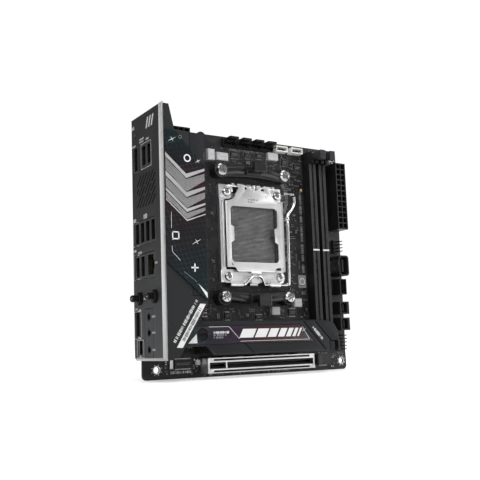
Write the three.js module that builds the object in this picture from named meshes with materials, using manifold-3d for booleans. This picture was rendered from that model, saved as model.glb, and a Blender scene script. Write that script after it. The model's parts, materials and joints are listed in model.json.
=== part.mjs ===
// A 170 mm square computer board: a bare processor socket, two memory sockets, one armoured card slot, a
// tower of heatsinks around a storage-card bay, a power-stage heatsink and a tall covered port block.
//
// Board axes, in millimetres: x runs from the rear (port) edge to the front edge, y runs from the card-slot
// edge to the memory-latch edge, and z is the height above the component face. The last lines stand the board
// upright, with the component face towards -Y, and put the origin on the seat beside the rear lower hole.
import * as THREE from 'three';
import { mergeVertices } from 'three/addons/utils/BufferGeometryUtils.js';
import Module from 'manifold-3d';

const wasm = await Module();
wasm.setup();

// ---- driving dimensions ----
const BOARD = 170;
const BOARD_THICKNESS = 1.6;
const BOARD_CORNER = 3;
const HOLE_RADIUS = 1.98;
const REAR_HOLE_X = 10.16;
const FRONT_HOLE_X = 165.1;
const LOW_HOLE_Y = 6.35;
const HIGH_HOLE_Y = 163.83;
const SEAT_OFFSET = 3.3; // from a mounting hole's axis to the middle of its bare seat

const LIFT = 0.3; // solder gap between the board and what stands on it
const GAP = 0.3; // clearance between neighbours

const PORT_FACE_X = -6; // outer face of the port panel
const PORT_LOW = 12.9;
const PORT_HIGH = 172.9;
const PORT_BOTTOM = 0.4;
const PORT_TOP = 44.6;
const RIM = 1.7; // bright chamfer around the panel
const PORT_LIP_X = PORT_FACE_X + 0.2; // ports stop just inside the panel's face

const SOCKET_X = 86.4;
const SOCKET_Y = 98.4;
const COOLER_HALF_X = 27;
const COOLER_HALF_Y = 45;
const CLAMP_HALF_X = 21.7; // socket corner screws
const CLAMP_HALF_Y = 30.1;
const PLATE_HINGE_Y = 133;
const PLATE_HINGE_Z = 5;
const LEVER_Y = 62.7;
const LEVER_Z = 4.4;
const LEVER_RADIUS = 1.05;

const MEMORY_X = [139.7, 148.9];
const MEMORY_LOW = 18.5;
const MEMORY_HIGH = 164.4;
const MEMORY_KEY_Y = 89.3;
const MEMORY_HEIGHT = 8.6;
const LATCH_Y = 160.6;
const LATCH_Z = 3.4;

const SLOT_LEFT = 42.4;
const SLOT_RIGHT = 131.4;
const SLOT_Y = 7.7;
const SLOT_HALF = 5.05;
const SLOT_TOP = 11.1;
const SLOT_KEY_X = 57;

// ---- solids ----
function solid(geometry) {
  const bare = geometry.index ? geometry.toNonIndexed() : geometry.clone();
  for (const name of Object.keys(bare.attributes)) {
    if (name !== 'position') bare.deleteAttribute(name);
  }
  const merged = mergeVertices(bare, 1e-4);
  return new wasm.Manifold(new wasm.Mesh({
    numProp: 3,
    vertProperties: new Float32Array(merged.attributes.position.array),
    triVerts: new Uint32Array(merged.index.array),
  }));
}

function geometryOf(manifold) {
  const mesh = manifold.getMesh();
  const geometry = new THREE.BufferGeometry();
  geometry.setAttribute('position', new THREE.BufferAttribute(Float32Array.from(mesh.vertProperties), 3));
  geometry.setIndex(Array.from(mesh.triVerts));
  geometry.computeVertexNormals();
  return geometry;
}

function box(x0, x1, y0, y1, z0, z1) {
  const geometry = new THREE.BoxGeometry(x1 - x0, y1 - y0, z1 - z0);
  return solid(geometry.translate((x0 + x1) / 2, (y0 + y1) / 2, (z0 + z1) / 2));
}

// A cylinder along one axis, from low to high on it. The centre gives the other two coordinates in order.
function rod(axis, centre, radius, low, high, sides = 24) {
  const geometry = new THREE.CylinderGeometry(radius, radius, high - low, sides);
  const middle = (low + high) / 2;
  if (axis === 'x') return solid(geometry.rotateZ(Math.PI / 2).translate(middle, centre[0], centre[1]));
  if (axis === 'y') return solid(geometry.translate(centre[0], middle, centre[1]));
  return solid(geometry.rotateX(Math.PI / 2).translate(centre[0], centre[1], middle));
}

function outline(points) {
  return new THREE.Shape(points.map(([a, b]) => new THREE.Vector2(a, b)));
}

// An outline drawn in x and y, raised from z0 to z1, with an optional chamfer on its two faces.
function slab(shape, z0, z1, chamfer = 0, curveSegments = 8) {
  const geometry = new THREE.ExtrudeGeometry(shape, {
    depth: z1 - z0 - 2 * chamfer,
    bevelEnabled: chamfer > 0,
    bevelThickness: chamfer,
    bevelSize: chamfer,
    bevelOffset: -chamfer,
    bevelSegments: 1,
    curveSegments,
  });
  return solid(geometry.translate(0, 0, z0 + chamfer));
}

// An outline drawn in y and z, run along x from x0 to x1.
function alongX(shape, x0, x1) {
  const options = { depth: x1 - x0, bevelEnabled: false, curveSegments: 8 };
  const geometry = new THREE.ExtrudeGeometry(shape, options);
  const axes = new THREE.Matrix4().set(0, 0, 1, x0, 1, 0, 0, 0, 0, 1, 0, 0, 0, 0, 0, 1);
  return solid(geometry.applyMatrix4(axes));
}

// An outline drawn in z and x, run along y from y0 to y1.
function alongY(shape, y0, y1) {
  const options = { depth: y1 - y0, bevelEnabled: false, curveSegments: 8 };
  const geometry = new THREE.ExtrudeGeometry(shape, options);
  const axes = new THREE.Matrix4().set(0, 1, 0, 0, 0, 0, 1, y0, 1, 0, 0, 0, 0, 0, 0, 1);
  return solid(geometry.applyMatrix4(axes));
}

function roundedRectangle(x0, x1, y0, y1, r) {
  const shape = new THREE.Shape();
  shape.moveTo(x0 + r, y0);
  shape.lineTo(x1 - r, y0);
  shape.absarc(x1 - r, y0 + r, r, -Math.PI / 2, 0);
  shape.lineTo(x1, y1 - r);
  shape.absarc(x1 - r, y1 - r, r, 0, Math.PI / 2);
  shape.lineTo(x0 + r, y1);
  shape.absarc(x0 + r, y1 - r, r, Math.PI / 2, Math.PI);
  shape.lineTo(x0, y0 + r);
  shape.absarc(x0 + r, y0 + r, r, Math.PI, Math.PI * 1.5);
  return shape;
}

// A ring sector about an axis along x, from one angle to another, measured from +y towards +z.
function curl([y, z], inner, outer, from, to, x0, x1) {
  const shape = new THREE.Shape();
  shape.absarc(y, z, outer, from, to, false);
  shape.absarc(y, z, inner, to, from, true);
  return alongX(shape, x0, x1);
}

const join = (first, ...rest) => rest.reduce((whole, piece) => whole.add(piece), first);
const cut = (first, ...rest) => rest.reduce((whole, piece) => whole.subtract(piece), first);

// ---- finishes ----
function finish(color, roughness, metalness = 0) {
  return new THREE.MeshStandardMaterial({ color, roughness, metalness });
}


const boardInk = () => finish(0x16171a, 0.5);
const darkPanel = () => finish(0x3d3e42, 0.5, 0.3);
const coverPlastic = () => finish(0x3a3b3f, 0.6);
const insertPrint = () => finish(0x16232a, 0.35);
const heatsinkMetal = () => finish(0x4a4c53, 0.45, 0.7);
const brightSteel = () => finish(0xd9d9dc, 0.28, 1);
const screwSteel = () => finish(0xc4c4c8, 0.3, 1);
const blackPlastic = () => finish(0x141416, 0.45);
const socketPlastic = () => finish(0x2a2a2d, 0.55);
const latchPlastic = () => finish(0x45464a, 0.5);
const whitePlastic = () => finish(0xd8d8d6, 0.5);
const blackSteel = () => finish(0x1b1b1d, 0.5, 0.6);
const shellMetal = () => finish(0x6b6c70, 0.4, 0.9);

const board = new THREE.Group();

function part(name, manifold, material) {
  const mesh = new THREE.Mesh(geometryOf(manifold), material);
  mesh.name = name;
  board.add(mesh);
}

// ---- circuit board ----
const mountingHoles = [
  [REAR_HOLE_X, LOW_HOLE_Y],
  [REAR_HOLE_X, HIGH_HOLE_Y],
  [FRONT_HOLE_X, HIGH_HOLE_Y],
  [FRONT_HOLE_X, LOW_HOLE_Y],
];

function cornersAround(halfX, halfY) {
  return [[-1, 1], [1, 1], [-1, -1], [1, -1]].map(([a, b]) => [SOCKET_X + a * halfX, SOCKET_Y + b * halfY]);
}

const coolerHoles = cornersAround(COOLER_HALF_X, COOLER_HALF_Y);
const clampHoles = cornersAround(CLAMP_HALF_X, CLAMP_HALF_Y);
const POST_RADIUS = 2.4;
const CLAMP_SHANK = 1.4;

function circuitBoard() {
  const shape = roundedRectangle(0, BOARD, 0, BOARD, BOARD_CORNER);
  const through = (holes, radius) => {
    for (const [x, y] of holes) {
      const hole = new THREE.Path();
      hole.absarc(x, y, radius, 0, 2 * Math.PI, true);
      shape.holes.push(hole);
    }
  };
  through(mountingHoles, HOLE_RADIUS);
  through(coolerHoles, POST_RADIUS + GAP);
  through(clampHoles, CLAMP_SHANK + GAP);
  return slab(shape, -BOARD_THICKNESS, 0, 0, 10);
}

part('circuit_board', circuitBoard(), boardInk());

// ---- rear ports ----
// Every port is described by the middle of its mouth (y, z) and the mouth's size along y and z.
const USB_MOUTH = [13.2, 5.6];
const USB_PITCH = 7.85;
const LOWEST_USB_Z = 8.5;
const TALL_STACK_Y = 93.9;
const LOW_STACK_Y = 72.3;
const TOP_STACK_Y = 143.3;
const TOP_STACK_Z = 20.2;
const VIDEO_MOUTH = [15.4, 5.6];
const VIDEO_Z = 7.6;
const VIDEO_DEPTH = 14.6; // shallow, because the pedestal of the ports above starts behind it
const NETWORK_Z = 27.6;
const NETWORK_MOUTH = [12.6, 8.4];
const WIRELESS_Y = 52;
const ANTENNA_Z = [11.8, 33.8];
const ANTENNA_RADIUS = 2.3;
const JACK_Y = [39.9, 30.1, 19.7];
const JACK_Z = 24;
const AUDIO_Y = [16, 45];
const AUDIO_Z = [18.5, 30];
const AUDIO_BACK_X = 12.5;
const JACK_RADIUS = 3;
const SMALL_USB = { y: 21.3, z: 11.3, mouth: [9, 4.4] };
const AUX = { y: 36, z: 7.3, mouth: [14.6, 4.8] };
const BUTTON = { y: 159.8, z: 7.3, radius: 1.7 };
const MOUTH_DEPTH = 13;
const SHELL_WALL = 1;

function mouth(y, z, [along, high], depth = MOUTH_DEPTH) {
  return box(PORT_LIP_X - 1, PORT_LIP_X + depth, y - along / 2, y + along / 2, z - high / 2, z + high / 2);
}

// A metal-shelled port block standing on the board, with one mouth for each height in heights.
function portStack(y, heights, size, bottom, top, depth) {
  const half = size[0] / 2 + SHELL_WALL;
  const block = box(PORT_LIP_X, PORT_LIP_X + depth, y - half, y + half, bottom, top);
  return cut(block, ...heights.map((z) => mouth(y, z, size)));
}

const tallHeights = [0, 1, 2, 3].map((i) => LOWEST_USB_Z + i * USB_PITCH);
const lowHeights = tallHeights.slice(0, 2);
const topHeights = [TOP_STACK_Z, TOP_STACK_Z + USB_PITCH];
const stackTop = (heights) => heights[heights.length - 1] + USB_MOUTH[1] / 2 + SHELL_WALL;
const stackBottom = (heights) => heights[0] - USB_MOUTH[1] / 2 - SHELL_WALL;
const NETWORK_BOTTOM = stackTop(lowHeights) + GAP;
const NETWORK_TOP = NETWORK_Z + NETWORK_MOUTH[1] / 2 + 2.4;
const NETWORK_HALF = 8;
const PORT_DEPTH = 19;

// A ported block overhangs the board's edge, and its foot rests on the board behind that edge.
function standing(block, y, half, bottom) {
  return join(block, box(1.5, PORT_LIP_X + PORT_DEPTH, y - half, y + half, LIFT, bottom + 1));
}

function usbStack(y, heights) {
  const bottom = stackBottom(heights);
  const stack = portStack(y, heights, USB_MOUTH, bottom, stackTop(heights), PORT_DEPTH);
  return standing(stack, y, USB_MOUTH[0] / 2 + SHELL_WALL, bottom);
}

function networkJack() {
  const block = box(PORT_LIP_X, PORT_LIP_X + PORT_DEPTH,
    LOW_STACK_Y - NETWORK_HALF, LOW_STACK_Y + NETWORK_HALF,
    NETWORK_BOTTOM, NETWORK_TOP);
  const keyway = mouth(LOW_STACK_Y, NETWORK_Z + NETWORK_MOUTH[1] / 2, [6, 2.2]);
  return cut(block, mouth(LOW_STACK_Y, NETWORK_Z, NETWORK_MOUTH), keyway);
}

// Two ports share the column above the video port, on one tall pedestal that stands behind it.
function topStack() {
  const bottom = stackBottom(topHeights);
  const stack = portStack(TOP_STACK_Y, topHeights, USB_MOUTH, bottom, stackTop(topHeights), PORT_DEPTH);
  const half = USB_MOUTH[0] / 2 + SHELL_WALL;
  const legs = box(9.5, PORT_LIP_X + PORT_DEPTH, TOP_STACK_Y - half, TOP_STACK_Y + half, LIFT, bottom + 1);
  return join(stack, legs);
}

function videoPort() {
  const half = VIDEO_MOUTH[0] / 2 + SHELL_WALL;
  const bottom = VIDEO_Z - VIDEO_MOUTH[1] / 2 - SHELL_WALL;
  const top = VIDEO_Z + VIDEO_MOUTH[1] / 2 + SHELL_WALL;
  const block = portStack(TOP_STACK_Y, [VIDEO_Z], VIDEO_MOUTH, bottom, top, VIDEO_DEPTH);
  return join(block, box(1.5, 8.8, TOP_STACK_Y - half, TOP_STACK_Y + half, LIFT, bottom + 1));
}

const LOW_PORT_DEPTH = 14;
const LOW_MOUTH_DEPTH = 9;
const LOW_PORT_RISE = 3.4; // from the middle of the mouth to the block's top

// Room kept for the cover's slanted wall, which runs from the lower rear corner up and forwards.
function beyondSlant() {
  return slab(outline([[3.9, 15.4], [24, 47.9], [40, 47.9], [40, 0], [3.9, 0]]), -1, 45);
}

function lowPort({ y, z, mouth: size }) {
  const half = size[0] / 2 + SHELL_WALL;
  const bottom = z - size[1] / 2 - SHELL_WALL;
  const block = box(PORT_LIP_X, PORT_LIP_X + LOW_PORT_DEPTH, y - half, y + half, bottom, z + LOW_PORT_RISE);
  const foot = box(1.5, PORT_LIP_X + LOW_PORT_DEPTH, y - half, y + half, LIFT, bottom + 1);
  return cut(join(block, foot), mouth(y, z, size, LOW_MOUTH_DEPTH), beyondSlant());
}

function audioBlock() {
  const front = box(PORT_LIP_X, AUDIO_BACK_X, ...AUDIO_Y, ...AUDIO_Z);
  const stand = box(AUDIO_BACK_X - 3.9, AUDIO_BACK_X, ...AUDIO_Y, LIFT, AUDIO_Z[0] + 0.5);
  const holes = JACK_Y.map((y) => rod('x', [y, JACK_Z], JACK_RADIUS - 1.2, PORT_LIP_X - 1, 8, 16));
  return cut(join(front, stand), ...holes, beyondSlant());
}

function antennaConnector(z) {
  const flangeBack = PORT_FACE_X - GAP;
  const barrel = rod('x', [WIRELESS_Y, z], ANTENNA_RADIUS, PORT_FACE_X - 6.2, -1.4, 20);
  const flange = rod('x', [WIRELESS_Y, z], 4.3, flangeBack - 1.1, flangeBack, 24);
  return join(barrel, flange);
}

part('usb_stack_tall', usbStack(TALL_STACK_Y, tallHeights), shellMetal());
part('usb_stack_low', usbStack(LOW_STACK_Y, lowHeights), shellMetal());
part('network_jack', networkJack(), shellMetal());
part('usb_stack_top', topStack(), shellMetal());
part('video_port', videoPort(), shellMetal());
part('usb_c_port', lowPort(SMALL_USB), brightSteel());
part('aux_port', lowPort(AUX), blackPlastic());
part('audio_jack_block', audioBlock(), blackPlastic());
ANTENNA_Z.forEach((z, i) => part(`antenna_connector_${i + 1}`, antennaConnector(z), blackSteel()));

function updateButton() {
  const cap = rod('x', [BUTTON.y, BUTTON.z], BUTTON.radius, PORT_FACE_X - 0.4, -2, 20);
  const collar = rod('x', [BUTTON.y, BUTTON.z], BUTTON.radius + 0.9, -3.4, -2, 20);
  return join(cap, collar);
}

part('update_button', updateButton(), whitePlastic());

// ---- port panel and its bright frame ----
const PANEL_THICKNESS = 1;
const PANEL_LOW = PORT_LOW + RIM + GAP;
const PANEL_HIGH = PORT_HIGH - RIM - GAP;
const PANEL_BOTTOM = PORT_BOTTOM + RIM + GAP;
const PANEL_TOP = PORT_TOP - RIM - GAP;
const LEDGE = 1; // how far the frame reaches behind the panel's edge
const FRAME_BACK_X = -3.6;

// The vent field: slanted slots in rows that break at two staggered places.
const VENT = { low: 110.2, high: 131.4, bottom: 8.6, top: 35.8, pitch: 4.5, width: 1.35 };
const VENT_SLOPE = 1; // rise along y for each step along z

function ventSlots() {
  const slots = [];
  const tall = VENT.high - VENT.low;
  const count = Math.floor((VENT.top - VENT.bottom + tall) / VENT.pitch);
  for (let i = 0; i < count; i += 1) {
    const start = VENT.bottom - tall + (i + 0.5) * VENT.pitch;
    const middle = VENT.low + tall * (i % 2 ? 0.36 : 0.64);
    for (const [low, high] of [[VENT.low, middle - 0.6], [middle + 0.6, VENT.high]]) {
      const zAt = (y) => start + (y - VENT.low) / VENT_SLOPE;
      const yAt = (z) => VENT.low + (z - start) * VENT_SLOPE;
      const from = Math.max(low, yAt(VENT.bottom));
      const to = Math.min(high, yAt(VENT.top));
      if (to - from < 2.5) continue;
      const corners = [[from, zAt(from)], [to, zAt(to)], [to, zAt(to) + VENT.width * 1.4],
        [from, zAt(from) + VENT.width * 1.4]];
      slots.push(alongX(outline(corners), PORT_FACE_X - 1, PORT_FACE_X + 2));
    }
  }
  return slots;
}

function window(y0, y1, z0, z1) {
  return box(PORT_FACE_X - 1, PORT_FACE_X + PANEL_THICKNESS + 1, y0, y1, z0, z1);
}

function windowFor(y, half, low, high) {
  return window(y - half - GAP, y + half + GAP, low - GAP, high + GAP);
}

function portPanel() {
  const sheet = box(PORT_FACE_X, PORT_FACE_X + PANEL_THICKNESS, PANEL_LOW, PANEL_HIGH,
    PANEL_BOTTOM, PANEL_TOP);
  const usbHalf = USB_MOUTH[0] / 2 + SHELL_WALL;
  const hole = (y, z, r) => rod('x', [y, z], r, PORT_FACE_X - 1, PORT_FACE_X + PANEL_THICKNESS + 1, 24);
  const around = ({ y, z, mouth: [along, high] }, rise) => windowFor(y, along / 2 + SHELL_WALL,
    z - high / 2 - SHELL_WALL, z + rise);
  return cut(sheet,
    windowFor(TALL_STACK_Y, usbHalf, stackBottom(tallHeights), stackTop(tallHeights)),
    windowFor(LOW_STACK_Y, usbHalf, stackBottom(lowHeights), stackTop(lowHeights)),
    windowFor(LOW_STACK_Y, NETWORK_HALF, NETWORK_BOTTOM, NETWORK_TOP),
    windowFor(TOP_STACK_Y, usbHalf, stackBottom(topHeights), stackTop(topHeights)),
    around({ y: TOP_STACK_Y, z: VIDEO_Z, mouth: VIDEO_MOUTH }, VIDEO_MOUTH[1] / 2 + SHELL_WALL),
    around(SMALL_USB, LOW_PORT_RISE),
    around(AUX, LOW_PORT_RISE),
    window(AUDIO_Y[0] - GAP, AUDIO_Y[1] + GAP, AUDIO_Z[0] - GAP, AUDIO_Z[1] + GAP),
    hole(BUTTON.y, BUTTON.z, BUTTON.radius + GAP),
    ...ANTENNA_Z.map((z) => hole(WIRELESS_Y, z, ANTENNA_RADIUS + GAP)),
    ...ventSlots());
}

function shieldFrame() {
  const depth = FRAME_BACK_X - PORT_FACE_X;
  const outer = new THREE.Shape();
  outer.moveTo(PORT_LOW, PORT_BOTTOM);
  outer.lineTo(PORT_HIGH, PORT_BOTTOM);
  outer.lineTo(PORT_HIGH, PORT_TOP);
  outer.lineTo(PORT_LOW, PORT_TOP);
  const geometry = new THREE.ExtrudeGeometry(outer, {
    depth: depth - RIM, bevelEnabled: true, bevelThickness: RIM, bevelSize: RIM, bevelOffset: -RIM,
    bevelSegments: 1,
  });
  const axes = new THREE.Matrix4().set(0, 0, 1, PORT_FACE_X + RIM, 1, 0, 0, 0, 0, 1, 0, 0, 0, 0, 0, 1);
  const chamfered = solid(geometry.applyMatrix4(axes));
  const behind = box(FRAME_BACK_X, FRAME_BACK_X + 5, PORT_LOW - 1, PORT_HIGH + 1,
    PORT_BOTTOM - 1, PORT_TOP + 1);
  const seat = box(PORT_FACE_X - 1, PORT_FACE_X + PANEL_THICKNESS + GAP, PORT_LOW + RIM, PORT_HIGH - RIM,
    PORT_BOTTOM + RIM, PORT_TOP - RIM);
  const through = box(PORT_FACE_X - 1, 5, PORT_LOW + RIM + LEDGE, PORT_HIGH - RIM - LEDGE,
    PORT_BOTTOM + RIM + LEDGE, PORT_TOP - RIM - LEDGE);
  return cut(chamfered, behind, seat, through);
}

part('port_panel', portPanel(), darkPanel());
part('shield_frame', shieldFrame(), brightSteel());

// ---- port cover, power-stage heatsink and printed insert ----
const COVER_X = FRAME_BACK_X + GAP;
const COVER_RIGHT = 25.7;
const COVER_TOP = 43;
const COVER_WALL = 1.6;
const COVER_FOOT = 2.5;
const SINK_LEFT = 15.5;
const SINK_SHOULDER_Y = 155.4;
const SINK_LOW = 52;
const INSERT_THICKNESS = 0.7;
const DIAGONAL = { highRight: 134.6, lowLeft: 72.5, lowRight: 48.6 };

function coverOutline(inset) {
  const x = COVER_X + inset;
  return outline([
    [x, 14.3 + inset],
    [5.2 - inset * 0.4, 14.3 + inset],
    [COVER_RIGHT - inset, 46.5 + inset * 0.6],
    [COVER_RIGHT - inset, SINK_SHOULDER_Y - inset],
    [4.9 - inset * 0.6, SINK_SHOULDER_Y + 1 - inset],
    [1.2 - inset, 172.4 - inset],
    [x, 172.4 - inset],
  ]);
}

// The cover is an open-bottomed shell. The heatsink fills its right half above the lower diagonal.
function portCover() {
  const underTop = COVER_TOP - COVER_WALL;
  const inside = slab(coverOutline(COVER_WALL), 0, underTop);
  const shell = cut(slab(coverOutline(0), COVER_FOOT, COVER_TOP), inside);
  const sinkRoom = box(SINK_LEFT - GAP, COVER_RIGHT + 5, SINK_LOW - GAP, SINK_SHOULDER_Y + 5,
    0, COVER_TOP + 5);
  const panelSide = box(COVER_X - 1, COVER_X + COVER_WALL + 0.5, 15.5, 170, 0, underTop);
  const lowPorts = box(COVER_X - 1, 4.2, 15.5, 17, 0, underTop);
  return cut(shell, sinkRoom, panelSide, lowPorts);
}

// The heatsink's outline in z and x: flat on the left, fins on the right that reach out further lower down.
function sinkProfile() {
  const top = COVER_TOP;
  const points = [[7, SINK_LEFT + 4], [7, 40]];
  const finPitch = 5;
  for (let z = 9.4; z + finPitch < top - 3; z += finPitch) {
    const tip = COVER_RIGHT + 0.46 * (top - z);
    points.push([z, tip - 0.4], [z, 29], [z + 2.6, 29], [z + 2.6, tip - 1.6]);
  }
  points.push([top - 3.2, COVER_RIGHT + 0.6], [top, COVER_RIGHT], [top, SINK_LEFT], [20, SINK_LEFT]);
  return outline(points);
}

function powerHeatsink() {
  const bar = alongY(sinkProfile(), SINK_LOW, SINK_SHOULDER_Y);
  const feet = [60, 100, 142].map((y) => box(22, 30, y - 5, y + 5, 2.2, 8));
  const post = rod('z', [24.4, SINK_SHOULDER_Y - 1.4], 3.3, 30, COVER_TOP - 0.6, 24);
  return join(bar, post, ...feet);
}

function printedInsert() {
  const left = COVER_X + 0.5;
  return slab(outline([
    [left, DIAGONAL.lowLeft],
    [COVER_RIGHT - 0.3, DIAGONAL.lowRight],
    [COVER_RIGHT - 0.3, DIAGONAL.highRight],
    [4.9, SINK_SHOULDER_Y - 0.2],
    [left, SINK_SHOULDER_Y - 0.2],
  ]), COVER_TOP + GAP, COVER_TOP + GAP + INSERT_THICKNESS);
}

part('port_cover', portCover(), coverPlastic());
part('power_heatsink', powerHeatsink(), heatsinkMetal());
part('cover_insert', printedInsert(), insertPrint());

// ---- processor socket ----
const FRAME_LEFT = 59.1;
const FRAME_RIGHT = 113.7;
const RAIL_WIDTH = 4;
const RAIL_TOP = 4.3;
const CLAMP_PAD_Z = 4.2;
const SOCKET_BODY_TOP = 3.6;
const CLAMP_PAD_RADIUS = 4.6;
const PLATE_UNDER = 6.1;
const PLATE_TOP = 7.2;
const LUG_INNER = 1.1;
const LUG_OUTER = 2.2;

function socketBody() {
  const body = slab(roundedRectangle(65.2, 107.6, 74.6, 122.2, 1.5), LIFT, SOCKET_BODY_TOP);
  const well = box(66.7, 106.1, 76.8, 120.2, SOCKET_BODY_TOP - 0.8, SOCKET_BODY_TOP + 1);
  return cut(body, well);
}

// A side rail is folded up along both edges, with a channel between the two folds.
function foldedRail(x0) {
  const channel = box(x0 + 1.2, x0 + 2.2, 74.5, 122.5, 2.4, RAIL_TOP + 1);
  return cut(box(x0, x0 + RAIL_WIDTH, 72.5, 124.5, LIFT, RAIL_TOP), channel);
}

// Steel frame around the socket: two folded side rails, four screw pads, and curls for the lever and pin.
function socketFrame() {
  const low = LIFT;
  const pads = clampHoles.map(([x, y]) => rod('z', [x, y], CLAMP_PAD_RADIUS, low, CLAMP_PAD_Z, 24));
  const lowStrip = box(FRAME_LEFT, FRAME_RIGHT - 1.6, 64.4, 73.4, low, CLAMP_PAD_Z - 0.6);
  const highLeft = box(FRAME_LEFT, 69, 123.5, 134, low, CLAMP_PAD_Z - 0.6);
  const highRight = box(103.6, FRAME_RIGHT - 1.6, 123.5, 134, low, CLAMP_PAD_Z - 0.6);
  const highBar = box(68, 105, 124.6, 128.6, low, 2);
  const whole = join(foldedRail(FRAME_LEFT), foldedRail(FRAME_RIGHT - RAIL_WIDTH),
    lowStrip, highLeft, highRight, highBar, ...pads);
  const leverSeats = [[65.5, 75.5], [98.5, 107.5]].map(([x0, x1]) => join(
    curl([LEVER_Y, LEVER_Z], 1.3, 2.3, 0, Math.PI, x0, x1),
    box(x0, x1, LEVER_Y + 1.3, LEVER_Y + 2.3, low, LEVER_Z + 0.2)));
  const pinEars = [[68.2, 70.6], [102.4, 104.8]].map(([x0, x1]) => join(
    curl([PLATE_HINGE_Y, PLATE_HINGE_Z], LUG_INNER, LUG_OUTER, -Math.PI / 2, Math.PI / 2, x0, x1),
    box(x0, x1, PLATE_HINGE_Y - 4, PLATE_HINGE_Y + LUG_OUTER, low, PLATE_HINGE_Z - LUG_INNER)));
  const tongue = box(83.2, 89.6, 62, 68.6, CLAMP_PAD_Z - 1.8, 5.4);
  const middlePost = box(85.6, 88.2, 128, 131.4, low, 2.4);
  const shanks = clampHoles.map(([x, y]) => rod('z', [x, y], CLAMP_SHANK + GAP, -1, CLAMP_PAD_Z + 1, 20));
  const leverRun = rod('x', [LEVER_Y, LEVER_Z], 1.3, 50, 120, 20);
  return cut(join(whole, tongue, middlePost, ...leverSeats, ...pinEars), leverRun, ...shanks);
}

// The load plate presses the processor down around its window. It is drawn closed.
function loadPlate() {
  const left = 63;
  const right = 110.2;
  const shape = new THREE.Shape();
  shape.moveTo(71.6, 71.8);
  shape.lineTo(82.5, 71.8);
  shape.lineTo(82.5, 70.6);
  shape.lineTo(90.3, 70.6);
  shape.lineTo(90.3, 71.8);
  shape.lineTo(102, 71.8);
  shape.quadraticCurveTo(103, 74.6, 105.6, 74.8);
  shape.lineTo(right, 74.8);
  shape.lineTo(right, 121.6);
  shape.quadraticCurveTo(103.2, 122.6, 102.2, 127.2);
  shape.lineTo(100.6, 130.6);
  shape.lineTo(73, 130.6);
  shape.lineTo(71.4, 127.2);
  shape.quadraticCurveTo(70.4, 122.6, left, 121.6);
  shape.lineTo(left, 74.8);
  shape.lineTo(68.6, 74.8);
  shape.quadraticCurveTo(70.6, 74.6, 71.6, 71.8);
  const hole = new THREE.Path();
  const windowX = [66.2, 106.3];
  const windowY = [78.4, 118.2];
  const bump = 2.6;
  const corner = 3;
  const bumpY = [93.6, 103.2];
  const slope = 1.6;
  hole.moveTo(windowX[0] + corner, windowY[0]);
  hole.lineTo(windowX[1] - corner, windowY[0]);
  hole.absarc(windowX[1] - corner, windowY[0] + corner, corner, -Math.PI / 2, 0);
  hole.lineTo(windowX[1], bumpY[0] - slope);
  hole.lineTo(windowX[1] - bump, bumpY[0]);
  hole.lineTo(windowX[1] - bump, bumpY[1]);
  hole.lineTo(windowX[1], bumpY[1] + slope);
  hole.lineTo(windowX[1], windowY[1] - corner);
  hole.absarc(windowX[1] - corner, windowY[1] - corner, corner, 0, Math.PI / 2);
  hole.lineTo(windowX[0] + corner, windowY[1]);
  hole.absarc(windowX[0] + corner, windowY[1] - corner, corner, Math.PI / 2, Math.PI);
  hole.lineTo(windowX[0], bumpY[1] + slope);
  hole.lineTo(windowX[0] + bump, bumpY[1]);
  hole.lineTo(windowX[0] + bump, bumpY[0]);
  hole.lineTo(windowX[0], bumpY[0] - slope);
  hole.lineTo(windowX[0], windowY[0] + corner);
  hole.absarc(windowX[0] + corner, windowY[0] + corner, corner, Math.PI, Math.PI * 1.5);
  shape.holes.push(hole);
  const sheet = slab(shape, PLATE_UNDER, PLATE_TOP, 0, 6);
  const lugs = [[73.4, 78.8], [80.6, 84.6], [89.2, 92.6], [95.6, 100.4]].map(([x0, x1]) => join(
    curl([PLATE_HINGE_Y, PLATE_HINGE_Z], LUG_INNER + 0.05, LUG_OUTER, -Math.PI * 0.3, Math.PI * 0.5, x0, x1),
    box(x0, x1, 130, PLATE_HINGE_Y + 0.05, PLATE_UNDER + 0.05, PLATE_TOP)));
  const finger = box(85.4, 87.8, 130, 134.2, PLATE_UNDER, PLATE_TOP);
  return join(sheet, finger, ...lugs);
}

// The hinge pin runs through the frame's two ears, inside the load plate's curled lugs.
function hingePin() {
  return rod('x', [PLATE_HINGE_Y, PLATE_HINGE_Z], LUG_INNER - GAP, 67.4, 105.6, 16);
}

// One bent wire: a crank that presses on the tongue, a corner, and a long arm with a curled finger end.
function loadLever() {
  const crank = [[74, 0, 0], [77, 0, 0], [78.4, 0.2, 0.1], [81, 3.6, 1.8], [84, 5.7, 3], [88.8, 5.7, 3],
    [91.8, 3.6, 1.8], [94.4, 0.2, 0.1], [96, 0, 0]];
  const arm = [[110, 0, 0], [112.4, 0, 0], [115, 0.9, 0.3], [115.9, 4, 0.7], [115.7, 42, 2.3],
    [115, 48.6, 2.8], [115.9, 52.2, 3], [119.3, 56.6, 3.6], [121.1, 60.6, 4], [121, 65.4, 4.2]];
  const points = [...crank, ...arm].map(([x, y, z]) => new THREE.Vector3(x, LEVER_Y + y, LEVER_Z + z));
  const smooth = new THREE.CatmullRomCurve3(points, false, 'centripetal', 0.5);
  const sides = 8;
  const ring = new THREE.Shape();
  ring.absarc(0, 0, LEVER_RADIUS, 0, 2 * Math.PI);
  const options = { steps: 72, extrudePath: smooth, curveSegments: sides / 2 };
  const geometry = new THREE.ExtrudeGeometry(ring, options);
  const collar = rod('y', [115, LEVER_Z + 2.8], 1.8, LEVER_Y + 47.2, LEVER_Y + 50, 12);
  return join(solid(geometry), collar);
}

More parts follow.
